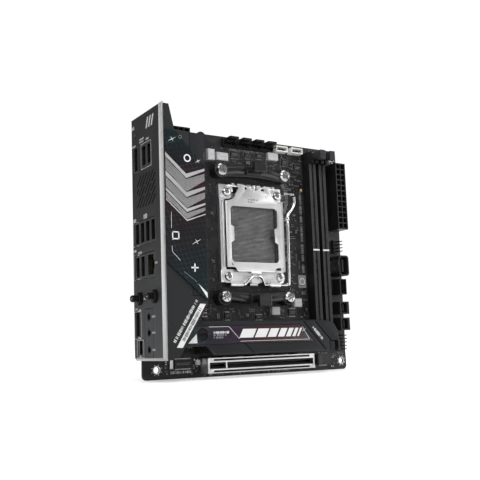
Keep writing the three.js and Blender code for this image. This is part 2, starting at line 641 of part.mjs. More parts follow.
function clampScrew([x, y]) {
  const head = rod('z', [x, y], 3.3, CLAMP_PAD_Z + 0.1, CLAMP_PAD_Z + 2.2, 20);
  const recess = rod('z', [x, y], 1.3, CLAMP_PAD_Z + 1.1, CLAMP_PAD_Z + 3, 6);
  return cut(join(head, rod('z', [x, y], CLAMP_SHANK, -1.2, CLAMP_PAD_Z + 1, 16)), recess);
}

function rearPlate() {
  const margin = 6;
  const sheet = slab(roundedRectangle(SOCKET_X - COOLER_HALF_X - margin, SOCKET_X + COOLER_HALF_X + margin,
    SOCKET_Y - COOLER_HALF_Y - margin, SOCKET_Y + COOLER_HALF_Y + margin, 5),
  -BOARD_THICKNESS - GAP - 2, -BOARD_THICKNESS - GAP, 0, 6);
  const pressing = slab(roundedRectangle(SOCKET_X - 17, SOCKET_X + 17, SOCKET_Y - 22, SOCKET_Y + 22, 4),
    -BOARD_THICKNESS - GAP - 3, -BOARD_THICKNESS - GAP - 1.9, 0, 6);
  const sideNotches = [-1, 1].map((side) => box(
    SOCKET_X + side * 33 - 3, SOCKET_X + side * 33 + 3, SOCKET_Y - 26, SOCKET_Y + 26, -10, 0));
  const foot = -BOARD_THICKNESS - GAP - 1;
  const posts = coolerHoles.map(([x, y]) => rod('z', [x, y], POST_RADIUS, foot, 3.2, 20));
  return join(cut(join(sheet, pressing), ...sideNotches), ...posts);
}

part('socket_body', socketBody(), socketPlastic());
part('socket_frame', socketFrame(), brightSteel());
part('load_plate', loadPlate(), brightSteel());
part('load_plate_pin', hingePin(), screwSteel());
part('load_lever', loadLever(), brightSteel());
clampHoles.forEach((place, i) => part(`socket_screw_${i + 1}`, clampScrew(place), screwSteel()));
part('rear_plate', rearPlate(), blackSteel());

// ---- cooler brackets ----
const BRACKET_TOP = 8;
const BOSS_RADIUS = 5.4;
const HOOK_HALF = 5; // half the width of the hook for a clip-on cooler
const HOOK_TOP = 17.6;

// One bracket, drawn on the high side of the socket. The side is 1 there and -1 for its mirror image.
function coolerBracket(side) {
  const y = (offset) => SOCKET_Y + side * (COOLER_HALF_Y + offset);
  const band = (low, high) => [Math.min(y(low), y(high)), Math.max(y(low), y(high))];
  const atEnds = (radius, low, high) => [-1, 1].map((end) => rod('z', [SOCKET_X + end * COOLER_HALF_X, y(0)],
    radius, low, high));
  const bosses = atEnds(BOSS_RADIUS, LIFT, BRACKET_TOP);
  const arch = new THREE.Shape();
  arch.moveTo(SOCKET_X - COOLER_HALF_X, y(-4.8));
  arch.quadraticCurveTo(SOCKET_X, y(-1.6), SOCKET_X + COOLER_HALF_X, y(-4.8));
  arch.lineTo(SOCKET_X + COOLER_HALF_X, y(1.4));
  arch.quadraticCurveTo(SOCKET_X, y(5.2), SOCKET_X - COOLER_HALF_X, y(1.4));
  const bar = slab(arch, 1.4, BRACKET_TOP - 0.8, 0, 10);
  const hubHalf = HOOK_HALF + 1.6;
  const hub = box(SOCKET_X - hubHalf, SOCKET_X + hubHalf, ...band(-2.2, 3.6), LIFT, BRACKET_TOP + 1);
  const upright = box(SOCKET_X - HOOK_HALF, SOCKET_X + HOOK_HALF, ...band(-1, 2.4), 4, HOOK_TOP);
  const tip = box(SOCKET_X - HOOK_HALF, SOCKET_X + HOOK_HALF, ...band(2, 6.4), HOOK_TOP - 3.4, HOOK_TOP);
  const bores = atEnds(POST_RADIUS + GAP, -1, 12);
  return cut(join(bar, hub, upright, tip, ...bosses), ...bores);
}

function coolerScrew([x, y]) {
  const seat = BRACKET_TOP + 0.2;
  const profile = [
    [0, 3.5], [1.9, 3.5], [1.9, seat], [4.3, seat], [4.3, seat + 1], [3.2, seat + 2], [0, seat + 2.3],
  ];
  const geometry = new THREE.LatheGeometry(profile.map(([r, z]) => new THREE.Vector2(r, z)), 24);
  const recess = [0, 1].map((turn) => solid(new THREE.BoxGeometry(4.4, 0.9, 1.6)
    .rotateZ(turn * Math.PI / 2 + 0.5).translate(x, y, seat + 2.2)));
  return cut(solid(geometry.rotateX(Math.PI / 2).translate(x, y, 0)), ...recess);
}

part('cooler_bracket_high', coolerBracket(1), blackPlastic());
part('cooler_bracket_low', coolerBracket(-1), blackPlastic());
coolerHoles.forEach((place, i) => part(`cooler_screw_${i + 1}`, coolerScrew(place), screwSteel()));

// ---- memory sockets and their end latches ----
const MEMORY_HALF = 3.1;
const LATCH_HALF = 2.4;

function memorySocket(x) {
  const body = box(x - MEMORY_HALF, x + MEMORY_HALF, MEMORY_LOW, 157, LIFT, MEMORY_HEIGHT);
  const tower = box(x - MEMORY_HALF - 0.3, x + MEMORY_HALF + 0.3, 155.4, MEMORY_HIGH, LIFT, 12.4);
  const groove = box(x - 0.75, x + 0.75, MEMORY_LOW + 3, MEMORY_HIGH - 5, 2.6, 20);
  const key = box(x - 1.4, x + 1.4, MEMORY_KEY_Y - 0.9, MEMORY_KEY_Y + 0.9, 2, MEMORY_HEIGHT);
  const latchRoom = box(x - LATCH_HALF - GAP, x + LATCH_HALF + GAP, 157.9, MEMORY_HIGH + 1, 0.6, 20);
  return join(cut(join(body, tower), groove, latchRoom), key);
}

// The latch turns about an axis along x, near its round foot. Its nose holds the module's notched end.
function memoryLatch(x) {
  const shape = new THREE.Shape();
  shape.moveTo(LATCH_Y - 2.1, LATCH_Z);
  shape.absarc(LATCH_Y, LATCH_Z, 2.1, Math.PI, 2 * Math.PI);
  shape.lineTo(LATCH_Y + 1.9, 17);
  shape.lineTo(LATCH_Y + 2.6, 22.4);
  shape.lineTo(LATCH_Y - 4.2, 22.4);
  shape.lineTo(LATCH_Y - 4.6, 19.4);
  shape.lineTo(LATCH_Y - 2.1, 16.4);
  return alongX(shape, x - LATCH_HALF, x + LATCH_HALF);
}

MEMORY_X.forEach((x, i) => {
  part(`memory_socket_${i + 1}`, memorySocket(x), blackPlastic());
  part(`memory_latch_${i + 1}`, memoryLatch(x), latchPlastic());
});

// ---- power connectors ----
const CELL = 4.2; // pitch of the contacts in a power connector

// A shrouded power connector: columns by rows of square pockets, and a latch bar on the side that side gives.
function powerConnector(x0, y0, columns, rows, barSide) {
  const width = columns * CELL + 1.2;
  const length = rows * CELL + 1.2;
  const top = 12.9;
  let body = box(x0, x0 + width, y0, y0 + length, LIFT, top);
  for (let i = 0; i < columns; i += 1) {
    for (let j = 0; j < rows; j += 1) {
      const x = x0 + 0.6 + (i + 0.5) * CELL;
      const y = y0 + 0.6 + (j + 0.5) * CELL;
      body = body.subtract(box(x - 1.7, x + 1.7, y - 1.7, y + 1.7, 3, top + 1));
    }
  }
  const [bx, by, along] = barSide;
  const bar = box(bx, bx + along[0], by, by + along[1], 7.4, 11.4);
  return join(body, bar);
}

const MAIN_POWER = { x: 158.8, y: 105.6 };
const CPU_POWER = { x: 14.6, y: 159.4 };
const mainLength = 12 * CELL + 1.2;
part('main_power_connector', powerConnector(MAIN_POWER.x, MAIN_POWER.y, 2, 12,
  [MAIN_POWER.x + 2 * CELL + 1, MAIN_POWER.y + mainLength / 2 - 3, [1.5, 6]]), blackPlastic());
part('processor_power_connector', powerConnector(CPU_POWER.x, CPU_POWER.y - 0.2, 4, 2,
  [CPU_POWER.x + 2 * CELL - 2.4, CPU_POWER.y - 1.6, [6, 1.6]]), blackPlastic());

// ---- headers along the edges ----
const PIN_PITCH = 2.54;

// A four-pin fan header: a low tray with four pins and a tall friction wall on the board's edge side.
function fanHeader(x) {
  const tray = cut(box(x - 5.1, x + 5.1, 162.3, 168, LIFT, 3.4), box(x - 4.5, x + 4.5, 162.9, 166.3, 1.6, 5));
  const wall = box(x - 3.6, x + 3.6, 166.6, 168, LIFT, 11);
  return join(tray, wall, ...pins(x, 164.6, 4, 'x', 1, 9.5));
}

function pins(x, y, count, along, base, top) {
  const half = 0.32;
  return Array.from({ length: count }, (_, i) => {
    const shift = (i - (count - 1) / 2) * PIN_PITCH;
    const px = x + (along === 'x' ? shift : 0);
    const py = y + (along === 'y' ? shift : 0);
    return box(px - half, px + half, py - half, py + half, base, top);
  });
}

// A bare pin header: a low plastic base with one or two rows of pins, running along y.
function pinHeader(x, y, rows, count) {
  const half = rows * PIN_PITCH / 2;
  const reach = count * PIN_PITCH / 2;
  const base = box(x - half, x + half, y - reach, y + reach, LIFT, 2.6);
  const columns = rows === 1 ? [x] : [x - PIN_PITCH / 2, x + PIN_PITCH / 2];
  return join(base, ...columns.flatMap((px) => pins(px, y, count, 'y', 1, 8.6)));
}

function lightHeader(x) {
  const body = box(x - 5.2, x + 5.2, 162.6, 167, LIFT, 6.2);
  return cut(body, box(x - 4.4, x + 4.4, 163.5, 166.1, 2, 8));
}

function shroudedHeader(x0, x1, y0, y1, top, wall) {
  const body = box(x0, x1, y0, y1, LIFT, top);
  return cut(body, box(x0 + wall, x1 - wall, y0 + wall, y1 - wall, 2.4, top + 1));
}

// The front USB-C header is a flat shelled socket that stands on the board, with a tongue in its mouth.
function frontUsbC() {
  const body = slab(roundedRectangle(158.8, 168.4, 70, 85.6, 2.4), LIFT, 11.2);
  const mouthRoom = slab(roundedRectangle(160, 167.2, 71.2, 84.4, 1.6), 3, 12);
  const tongue = box(162.7, 164.5, 73, 82.6, 2, 9.6);
  return join(cut(body, mouthRoom), tongue);
}

function drivePort(y) {
  const body = box(159.6, 168.6, y - 4.7, y + 4.7, LIFT, 8.6);
  const mouthRoom = box(161, 166.4, y - 3.6, y + 3.6, 2, 10);
  return join(cut(body, mouthRoom), box(163.2, 164.5, y - 2.7, y + 2.7, 1.5, 7.2));
}

[69.6, 80.6, 91.5, 102.5].forEach((x, i) => part(`fan_header_${i + 1}`, fanHeader(x), blackPlastic()));
[114, 128].forEach((x, i) => part(`light_header_${i + 1}`, lightHeader(x), whitePlastic()));
part('front_usb_c_header', frontUsbC(), blackPlastic());
part('front_usb_header', shroudedHeader(160.4, 166.9, 56, 67.8, 9, 0.8), blackPlastic());
[45.9, 33.8].forEach((y, i) => part(`drive_port_${i + 1}`, drivePort(y), blackPlastic()));
part('side_pin_header', pinHeader(163.8, 93.2, 2, 4), blackPlastic());
part('front_panel_header', pinHeader(163.2, 20.2, 2, 5), blackPlastic());

// ---- chipset heatsink, and the covered storage-card bay above it ----
const DRIVE_TOP = 36.5;
const DRIVE_LOW = 14.9;
const DRIVE_STEP = 20.8; // the rear end is narrower, and starts here
const DRIVE_HIGH = 36.3;
const BAY_TOP = 29.6;
const DRIVE_SCREW = [24.8, 28.2];
const DRIVE_SCREW_RADIUS = 3.6;
const BLOCK_LEFT = 38;
const BLOCK_RIGHT = 124.6;
const BLOCK_TOP = 22.6;
const CHIPSET_TOP = 2.6; // the chip itself is one of the small surface parts that have no solids here
const CATCH = { left: 125.9, right: 130.4, low: 15.3, high: 21.2 };
const CATCH_TRAVEL = 2.2;

function groove(x0, y0, x1, y1, width, depth) {
  const along = new THREE.Vector2(x1 - x0, y1 - y0);
  const geometry = new THREE.BoxGeometry(along.length(), width, depth * 2);
  return solid(geometry.rotateZ(along.angle()).translate((x0 + x1) / 2, (y0 + y1) / 2, DRIVE_TOP));
}

function insertOutline(inset) {
  return outline([
    [10.6 + inset * 1.6, DRIVE_STEP + 0.8 + inset],
    [112.4 - inset * 2.2, DRIVE_STEP + 0.8 + inset],
    [101.1 - inset, 33.5 - inset],
    [18.2, 33.5 - inset],
  ]);
}

// A thick plate with two skirts that hold it over the storage card, and a notch for the catch at one corner.
function driveHeatsink() {
  const notch = box(CATCH.left - 0.6, CATCH.right + CATCH_TRAVEL + 0.5, DRIVE_LOW - 1, CATCH.high + 0.6,
    BAY_TOP - 1, DRIVE_TOP + 1);
  const plate = slab(outline([
    [9.9, DRIVE_STEP], [30.2, DRIVE_STEP], [35.7, DRIVE_LOW], [136, DRIVE_LOW], [134.7, 23],
    [134.2, 28.6], [131, 33.6], [127, 35.6], [120, DRIVE_HIGH], [19.8, DRIVE_HIGH],
  ]), BAY_TOP, DRIVE_TOP, 1.2);
  const skirts = [[15.6, 17.2], [34, 35.6]].map(([low, high]) => box(BLOCK_LEFT, BLOCK_RIGHT, low, high,
    BLOCK_TOP + GAP, BAY_TOP + 1));
  const screwRoom = rod('z', DRIVE_SCREW, DRIVE_SCREW_RADIUS + GAP, DRIVE_TOP - 4.4, DRIVE_TOP + 1, 24);
  const shankRoom = rod('z', DRIVE_SCREW, 2, BAY_TOP - 1, DRIVE_TOP, 16);
  const insertRoom = slab(insertOutline(0), DRIVE_TOP - 0.9, DRIVE_TOP + 1);
  return cut(join(plate, ...skirts), notch, screwRoom, shankRoom, insertRoom,
    groove(103.7, 35.2, 124.1, 13.1, 1.1, 0.8),
    groove(113.7, 35.2, 128.3, 20.3, 1.1, 0.8),
    groove(55.2, 22.3, 64.6, 13.5, 1.1, 0.8));
}

function driveInsert() {
  return cut(slab(insertOutline(GAP), DRIVE_TOP - 0.8, DRIVE_TOP + 0.1),
    rod('z', DRIVE_SCREW, DRIVE_SCREW_RADIUS + GAP, DRIVE_TOP - 4, DRIVE_TOP + 1, 24));
}

function driveScrew() {
  const [x, y] = DRIVE_SCREW;
  const head = rod('z', DRIVE_SCREW, DRIVE_SCREW_RADIUS, DRIVE_TOP - 4.2, DRIVE_TOP - 0.2, 24);
  const slotCut = box(x - 2.6, x + 2.6, y - 0.5, y + 0.5, DRIVE_TOP - 1.2, DRIVE_TOP + 1);
  return cut(join(head, rod('z', DRIVE_SCREW, 1.6, 22, DRIVE_TOP - 4, 16)), slotCut);
}

// A grooved block on the chipset. Its low arm carries the post that the drive heatsink's screw goes into.
function chipsetHeatsink() {
  const base = CHIPSET_TOP + 0.1;
  const block = box(BLOCK_LEFT, BLOCK_RIGHT, 15.4, 35.8, base, BLOCK_TOP);
  const [x, y] = DRIVE_SCREW;
  const arm = box(x - 3, BLOCK_LEFT + 1, y - 3.4, y + 3.4, base, base + 3);
  const post = rod('z', DRIVE_SCREW, 3, base, BAY_TOP - GAP, 24);
  const bore = rod('z', DRIVE_SCREW, 1.6 + GAP, 21, BAY_TOP + 1, 16);
  const grooves = [];
  for (let z = base + 3; z < BLOCK_TOP - 2; z += 3.6) {
    grooves.push(box(BLOCK_LEFT - 1, BLOCK_RIGHT + 1, 15, 19.4, z, z + 1.8));
    grooves.push(box(BLOCK_LEFT - 1, BLOCK_RIGHT + 1, 31.8, 37, z, z + 1.8));
  }
  return cut(join(cut(block, ...grooves), arm, post), bore);
}

// The catch slides along x in the notch at the heatsink's free corner.
function releaseCatch() {
  const cap = box(CATCH.left, CATCH.right, CATCH.low, CATCH.high, 28.2, DRIVE_TOP - 0.4);
  const ribs = [0, 1, 2].map((i) => box(CATCH.left + 0.5, CATCH.right - 0.5, CATCH.low + 0.8 + i * 1.6,
    CATCH.low + 1.6 + i * 1.6, DRIVE_TOP - 1, DRIVE_TOP - 0.1));
  return join(cap, ...ribs);
}

// An upright riser carries the socket for a storage card, which lies parallel to the board in the bay.
function driveRiser() {
  const body = box(BLOCK_RIGHT + 1.2, 131.2, 16, 35.4, LIFT, 27.8);
  const mouth = box(BLOCK_RIGHT, BLOCK_RIGHT + 4.6, 17, 34.4, 25, 26.4);
  return cut(body, mouth);
}

part('drive_heatsink', driveHeatsink(), heatsinkMetal());
part('drive_heatsink_insert', driveInsert(), insertPrint());
part('drive_heatsink_screw', driveScrew(), blackSteel());
part('drive_release_catch', releaseCatch(), blackPlastic());
part('drive_riser', driveRiser(), blackPlastic());
part('chipset_heatsink', chipsetHeatsink(), heatsinkMetal());

// ---- card slot ----
function cardSlotBody() {
  const body = box(SLOT_LEFT + 0.9, SLOT_RIGHT - 0.9, SLOT_Y - 4.1, SLOT_Y + 4.1, LIFT, 9.6);
  const channel = (x0, x1) => box(x0, x1, SLOT_Y - 0.9, SLOT_Y + 0.9, 2, 12);
  return cut(body, channel(SLOT_LEFT + 3, SLOT_KEY_X - 0.9), channel(SLOT_KEY_X + 0.9, SLOT_RIGHT - 3));
}

// Folded steel armour: an outer skirt and two inner rails that meet in solid end blocks.
function slotArmour() {
  const outer = box(SLOT_LEFT, SLOT_RIGHT, SLOT_Y - SLOT_HALF, SLOT_Y + SLOT_HALF, 0.6, SLOT_TOP);
  const hollow = box(SLOT_LEFT + 0.6, SLOT_RIGHT - 0.6, SLOT_Y - SLOT_HALF + 0.6, SLOT_Y + SLOT_HALF - 0.6,
    0, 10);
  const long = [SLOT_LEFT + 4.6, SLOT_RIGHT - 4.6];
  const slits = [-1, 1].map((side) => {
    const middle = SLOT_Y + side * 3.75;
    return box(...long, middle - 0.65, middle + 0.65, 5, 12);
  });
  const middle = box(SLOT_LEFT + 1.4, SLOT_RIGHT - 1.4, SLOT_Y - 2.1, SLOT_Y + 2.1, 5, 12);
  return cut(outer, hollow, ...slits, middle);
}

// The latch rocks about an axis along y: its hook grips a card's tail, its pad is pressed towards the board.
function slotLatch() {
  const shape = outline([
    [2, 132.4], [13.4, 132.4], [13.4, 134], [8.2, 136.4], [6.4, 143.4], [6.4, 150.4], [5, 150.4], [2.6, 138],
  ]);
  return alongY(shape, SLOT_Y - 3.4, SLOT_Y + 4.4);
}

part('card_slot', cardSlotBody(), blackPlastic());
part('slot_armour', slotArmour(), brightSteel());
part('slot_latch', slotLatch(), blackPlastic());

// ---- the whole object, standing on its card-slot edge ----
board.rotation.x = Math.PI / 2;
board.position.set(-(REAR_HOLE_X + SEAT_OFFSET), -BOARD_THICKNESS, -LOW_HOLE_Y);

const motherboard = new THREE.Group();
motherboard.add(board);

export default motherboard;
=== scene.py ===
"""A square computer board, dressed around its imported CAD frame.

Board millimetres: x runs from the rear (port) edge to the front edge, y from the card-slot edge to the
memory-latch edge, and z is the height above the component face. at() turns them into the frame's metres.
"""
import json
import math
import random

import bmesh
import bpy
from mathutils import Matrix, Vector

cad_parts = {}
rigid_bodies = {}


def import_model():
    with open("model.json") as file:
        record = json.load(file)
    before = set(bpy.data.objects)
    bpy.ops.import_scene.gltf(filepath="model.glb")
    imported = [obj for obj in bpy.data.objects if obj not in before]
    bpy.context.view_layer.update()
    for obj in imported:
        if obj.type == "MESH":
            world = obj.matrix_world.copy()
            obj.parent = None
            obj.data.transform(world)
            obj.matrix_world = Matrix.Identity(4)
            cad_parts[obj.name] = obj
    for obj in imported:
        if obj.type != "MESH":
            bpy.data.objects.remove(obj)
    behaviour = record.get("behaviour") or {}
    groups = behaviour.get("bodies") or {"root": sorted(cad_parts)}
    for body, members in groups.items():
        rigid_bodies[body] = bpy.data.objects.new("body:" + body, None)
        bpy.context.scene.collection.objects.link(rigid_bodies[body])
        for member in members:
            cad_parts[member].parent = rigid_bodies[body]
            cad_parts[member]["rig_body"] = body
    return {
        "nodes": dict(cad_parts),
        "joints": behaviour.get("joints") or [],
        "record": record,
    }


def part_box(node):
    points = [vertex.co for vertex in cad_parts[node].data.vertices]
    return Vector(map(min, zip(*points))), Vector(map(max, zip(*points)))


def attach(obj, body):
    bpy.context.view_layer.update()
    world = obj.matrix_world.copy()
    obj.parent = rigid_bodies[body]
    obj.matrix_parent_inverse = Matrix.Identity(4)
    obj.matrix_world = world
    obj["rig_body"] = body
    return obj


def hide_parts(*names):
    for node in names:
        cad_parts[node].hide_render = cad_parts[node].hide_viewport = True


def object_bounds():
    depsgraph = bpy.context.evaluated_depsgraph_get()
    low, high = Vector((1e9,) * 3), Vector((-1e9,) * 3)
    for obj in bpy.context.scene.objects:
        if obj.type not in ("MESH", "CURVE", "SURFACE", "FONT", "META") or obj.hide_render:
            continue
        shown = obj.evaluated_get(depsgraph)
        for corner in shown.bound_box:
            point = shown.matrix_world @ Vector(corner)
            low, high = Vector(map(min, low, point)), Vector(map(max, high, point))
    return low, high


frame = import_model()
CAD_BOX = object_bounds()
CAD_LOW, CAD_HIGH = Vector(CAD_BOX[0]), Vector(CAD_BOX[1])
BOARD_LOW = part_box("circuit_board")[0]
MM = 0.001
SCENE = bpy.context.scene


def at(x, y, z):
    """A point in board millimetres, as a place in the frame."""
    return Vector((BOARD_LOW.x + x * MM, BOARD_LOW.y - z * MM, BOARD_LOW.z + y * MM))


def span(node):
    """A CAD node's box in board millimetres: x0, x1, y0, y1, z0, z1."""
    low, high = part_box(node)
    return (
        (low.x - BOARD_LOW.x) / MM, (high.x - BOARD_LOW.x) / MM,
        (low.z - BOARD_LOW.z) / MM, (high.z - BOARD_LOW.z) / MM,
        (BOARD_LOW.y - high.y) / MM, (BOARD_LOW.y - low.y) / MM,
    )


def middle_of(node):
    """The middle of a CAD node's footprint, as x and y."""
    x0, x1, y0, y1, _, _ = span(node)
    return (x0 + x1) / 2, (y0 + y1) / 2


def numbered(stem, count):
    return [f"{stem}_{i}" for i in range(1, count + 1)]


def rectangle(x0, x1, y0, y1):
    """The corners, anticlockwise."""
    return [(x0, y0), (x1, y0), (x1, y1), (x0, y1)]


def around(count, start=0.0):
    """So many angles, evenly spread over a full turn."""
    return [2 * math.pi * (i + start) / count for i in range(count)]


def grid(x0, y0, columns, rows, dx, dy):
    return [(x0 + i * dx, y0 + j * dy) for i in range(columns) for j in range(rows)]


BOARD_SIZE = span("circuit_board")[1]
THICKNESS = -span("circuit_board")[4]

# ---- camera, floor and lights ----
AZIMUTH = math.radians(32.27)  # the camera looks this far to the right of +Y
ELEVATION = math.radians(7.98)  # and this far upwards
ROLL = math.radians(-2.01)
LENS = 55.6
CENTRE = (CAD_LOW + CAD_HIGH) / 2
CAMERA_FROM_CENTRE = Vector((-0.28177, -0.42474, -0.06503))


def aim(place, forward, roll=0.0):
    """The matrix of a camera or lamp at place that looks along forward."""
    turned = forward.normalized().to_track_quat("-Z", "Y").to_matrix().to_4x4()
    return Matrix.Translation(place) @ turned @ Matrix.Rotation(roll, 4, "Z")


def make_camera():
    camera = bpy.data.objects.new("camera", bpy.data.cameras.new("camera"))
    camera.data.lens = LENS
    camera.data.sensor_width = 36
    camera.data.clip_start = 0.01
    flat = math.cos(ELEVATION)
    forward = Vector((math.sin(AZIMUTH) * flat, math.cos(AZIMUTH) * flat, math.sin(ELEVATION)))
    camera.matrix_world = aim(CENTRE + CAMERA_FROM_CENTRE, forward, ROLL)
    SCENE.collection.objects.link(camera)
    SCENE.camera = camera


def make_lamp(name, place, power, width, height):
    lamp = bpy.data.lights.new(name, "AREA")
    lamp.energy = power
    lamp.shape = "RECTANGLE"
    lamp.size = width
    lamp.size_y = height
    lit = bpy.data.objects.new(name, lamp)
    lit.matrix_world = aim(CENTRE + Vector(place), -Vector(place))
    SCENE.collection.objects.link(lit)


# ---- materials ----
class Finish:
    """A procedural material under construction, with its colour worked out in object space."""

    def __init__(self, name, **surface):
        self.material = bpy.data.materials.new(name)
        self.material.use_nodes = True
        self.tree = self.material.node_tree
        self.surface = self.tree.nodes["Principled BSDF"]
        self.place = self.node("ShaderNodeTexCoord").outputs["Object"]
        for socket, value in surface.items():
            self.set(socket.replace("_", " "), value)

    def node(self, kind, inputs=None, **settings):
        made = self.tree.nodes.new(kind)
        for key, value in settings.items():
            setattr(made, key, value)
        for key, value in (inputs or {}).items():
            self.put(made.inputs[key], value)
        return made

    def put(self, socket, value):
        if isinstance(value, bpy.types.NodeSocket):
            self.tree.links.new(value, socket)
        else:
            socket.default_value = value

    def set(self, name, value):
        if isinstance(value, tuple) and len(value) == 3:
            value = (*value, 1)
        self.put(self.surface.inputs[name], value)

    def math(self, operation, first, second=0.0, clamp=False):
        inputs = {0: first, 1: second}
        return self.node("ShaderNodeMath", inputs, operation=operation, use_clamp=clamp).outputs[0]

    def split(self):
        return self.node("ShaderNodeSeparateXYZ", {0: self.place}).outputs

    def scaled(self, x, y, z):
        return self.node("ShaderNodeMapping", {"Vector": self.place, "Scale": (x, y, z)}).outputs[0]

    def noise(self, scale, detail=3.0, vector=None):
        inputs = {"Vector": vector or self.place, "Scale": scale, "Detail": detail}
        return self.node("ShaderNodeTexNoise", inputs).outputs[0]

    def cells(self, scale, randomness=1.0):
        inputs = {"Vector": self.place, "Scale": scale, "Randomness": randomness}
        return self.node("ShaderNodeTexVoronoi", inputs).outputs

    def ramp(self, factor, stops):
        made = self.node("ShaderNodeValToRGB", {0: factor})
        elements = made.color_ramp.elements
        while len(elements) < len(stops):
            elements.new(0.5)
        for element, (position, colour) in zip(elements, stops):
            element.position = position
            element.color = (*colour, 1)
        return made.outputs[0]

    def mix(self, factor, first, second):
        made = self.node("ShaderNodeMix", {0: factor}, data_type="RGBA")
        for socket, value in ((made.inputs[6], first), (made.inputs[7], second)):
            self.put(socket, (*value, 1) if isinstance(value, tuple) else value)
        return made.outputs[2]

    def range(self, value, low, high, to_low=0.0, to_high=1.0):
        inputs = {0: value, 1: low, 2: high, 3: to_low, 4: to_high}
        return self.node("ShaderNodeMapRange", inputs, clamp=True).outputs[0]

    def bump(self, height, distance, strength=1.0, below=None):
        inputs = {"Height": height, "Distance": distance, "Strength": strength}
        if below:
            inputs["Normal"] = below
        return self.node("ShaderNodeBump", inputs).outputs[0]


def moulded(name, colour, rough=0.5, grain=2600.0, depth=0.02, specular=0.35):
    """Moulded plastic: slow changes of tint, fine grain and slightly uneven gloss."""
    finish = Finish(name, Specular_IOR_Level=specular)
    cloud = finish.noise(90.0, 4.0)
    fine = finish.noise(grain, 2.0)
    dark = tuple(0.72 * c for c in colour)
    light = tuple(min(1.0, 1.25 * c + 0.004) for c in colour)
    finish.set("Base Color", finish.mix(finish.math("MULTIPLY", cloud, fine), dark, light))
    finish.set("Roughness", finish.range(cloud, 0.3, 0.7, rough - 0.06, rough + 0.09))
    finish.set("Normal", finish.bump(fine, depth * MM, 0.6))
    return finish.material


def coated(name, colour, rough=0.5, metallic=0.0, grain=3400.0, depth=0.03, painted_shade=None):
    """Textured paint or bead-blasted anodising. The shading argument is (axis, low, high, share of the colour
    at low): painted shade, which scales the colour down towards low along the axis.
    """
    finish = Finish(name, Metallic=metallic, Specular_IOR_Level=0.3)
    speckle = finish.noise(grain, 2.0)
    cloud = finish.noise(35.0, 3.0)
    dark = tuple(0.8 * c for c in colour)
    light = tuple(min(1.0, 1.22 * c) for c in colour)
    tint = finish.mix(finish.range(speckle, 0.35, 0.68), dark, light)
    # Painted shade: the colour runs from the given share at low up to full colour at high.
    if painted_shade:
        axis, low, high, gain = painted_shade
        shade_slope = finish.range(finish.split()[axis], low, high, gain, 1.0)
        tint = finish.node("ShaderNodeVectorMath", {0: tint, "Scale": shade_slope}, operation="SCALE").outputs[0]
    finish.set("Base Color", tint)
    finish.set("Roughness", finish.range(cloud, 0.3, 0.7, rough - 0.05, rough + 0.08))
    finish.set("Normal", finish.bump(speckle, depth * MM, 0.5))
    return finish.material


def steel(name, colour, rough=0.25, stretch=(40.0, 900.0, 900.0), dull=0.12, streaks=0.2):
    """Pressed or drawn plated steel: fine streaks along one axis and soft smudges."""
    finish = Finish(name, Metallic=1.0)
    streak = finish.noise(1.0, 3.0, finish.scaled(*stretch))
    smudge = finish.noise(140.0, 3.0)
    dark = tuple((1 - streaks) * c for c in colour)
    finish.set("Base Color", finish.mix(finish.range(streak, 0.3, 0.7), dark, colour))
    uneven = finish.math("ADD", finish.math("MULTIPLY", streak, dull), finish.math("MULTIPLY", smudge, dull))
    finish.set("Roughness", finish.math("ADD", uneven, rough - dull))
    finish.set("Normal", finish.bump(streak, 0.004 * MM, 2.5 * streaks))
    return finish.material


def ink(name, colour, rough=0.6):
    """Screen-printed ink, slightly broken up."""
    finish = Finish(name, Specular_IOR_Level=0.2)
    wear = finish.noise(5200.0, 2.0)
    faded = tuple(0.78 * c for c in colour)
    finish.set("Base Color", finish.mix(finish.range(wear, 0.35, 0.6), faded, colour))
    finish.set("Roughness", finish.range(wear, 0.2, 0.8, rough - 0.1, rough + 0.1))
    return finish.material


def bus_angle(finish, cell_scale):
    """Gives each large cell of the board one of four directions, as sine and cosine."""
    cell = finish.cells(cell_scale, 0.8)
    share = finish.node("ShaderNodeSeparateColor", {0: cell["Color"]}).outputs[0]
    eighth = finish.math("FLOOR", finish.math("MULTIPLY", share, 4.0))
    angle = finish.math("MULTIPLY", eighth, math.pi / 4)
    return finish.math("SINE", angle), finish.math("COSINE", angle)


def board_ink():
    """Black solder mask over copper: buses of parallel tracks in four directions, and scattered vias."""
    finish = Finish("solder_mask", Specular_IOR_Level=0.3)
    x, _, z = finish.split()
    sine, cosine = bus_angle(finish, 62.0)
    across = finish.math("ADD", finish.math("MULTIPLY", x, sine), finish.math("MULTIPLY", z, cosine))
    track_pitch = 0.62 * MM
    wave = finish.math("SINE", finish.math("MULTIPLY", across, 2 * math.pi / track_pitch))
    routed = finish.range(finish.noise(85.0, 2.0), 0.47, 0.53)
    tracks = finish.math("MULTIPLY", finish.range(wave, 0.1, 0.5), routed)
    dots = finish.range(finish.cells(340.0, 0.85)["Distance"], 0.10, 0.16, 1.0, 0.0)
    ground = finish.mix(finish.noise(55.0, 4.0), (0.006, 0.0063, 0.007), (0.012, 0.0125, 0.014))
    copper = finish.mix(tracks, ground, (0.030, 0.030, 0.032))
    finish.set("Base Color", finish.mix(dots, copper, (0.075, 0.073, 0.07)))
    finish.set("Roughness", finish.range(tracks, 0.0, 1.0, 0.46, 0.36))
    height = finish.math("ADD", tracks, dots)
    finish.set("Normal", finish.bump(height, 0.03 * MM, 0.5))
    return finish.material


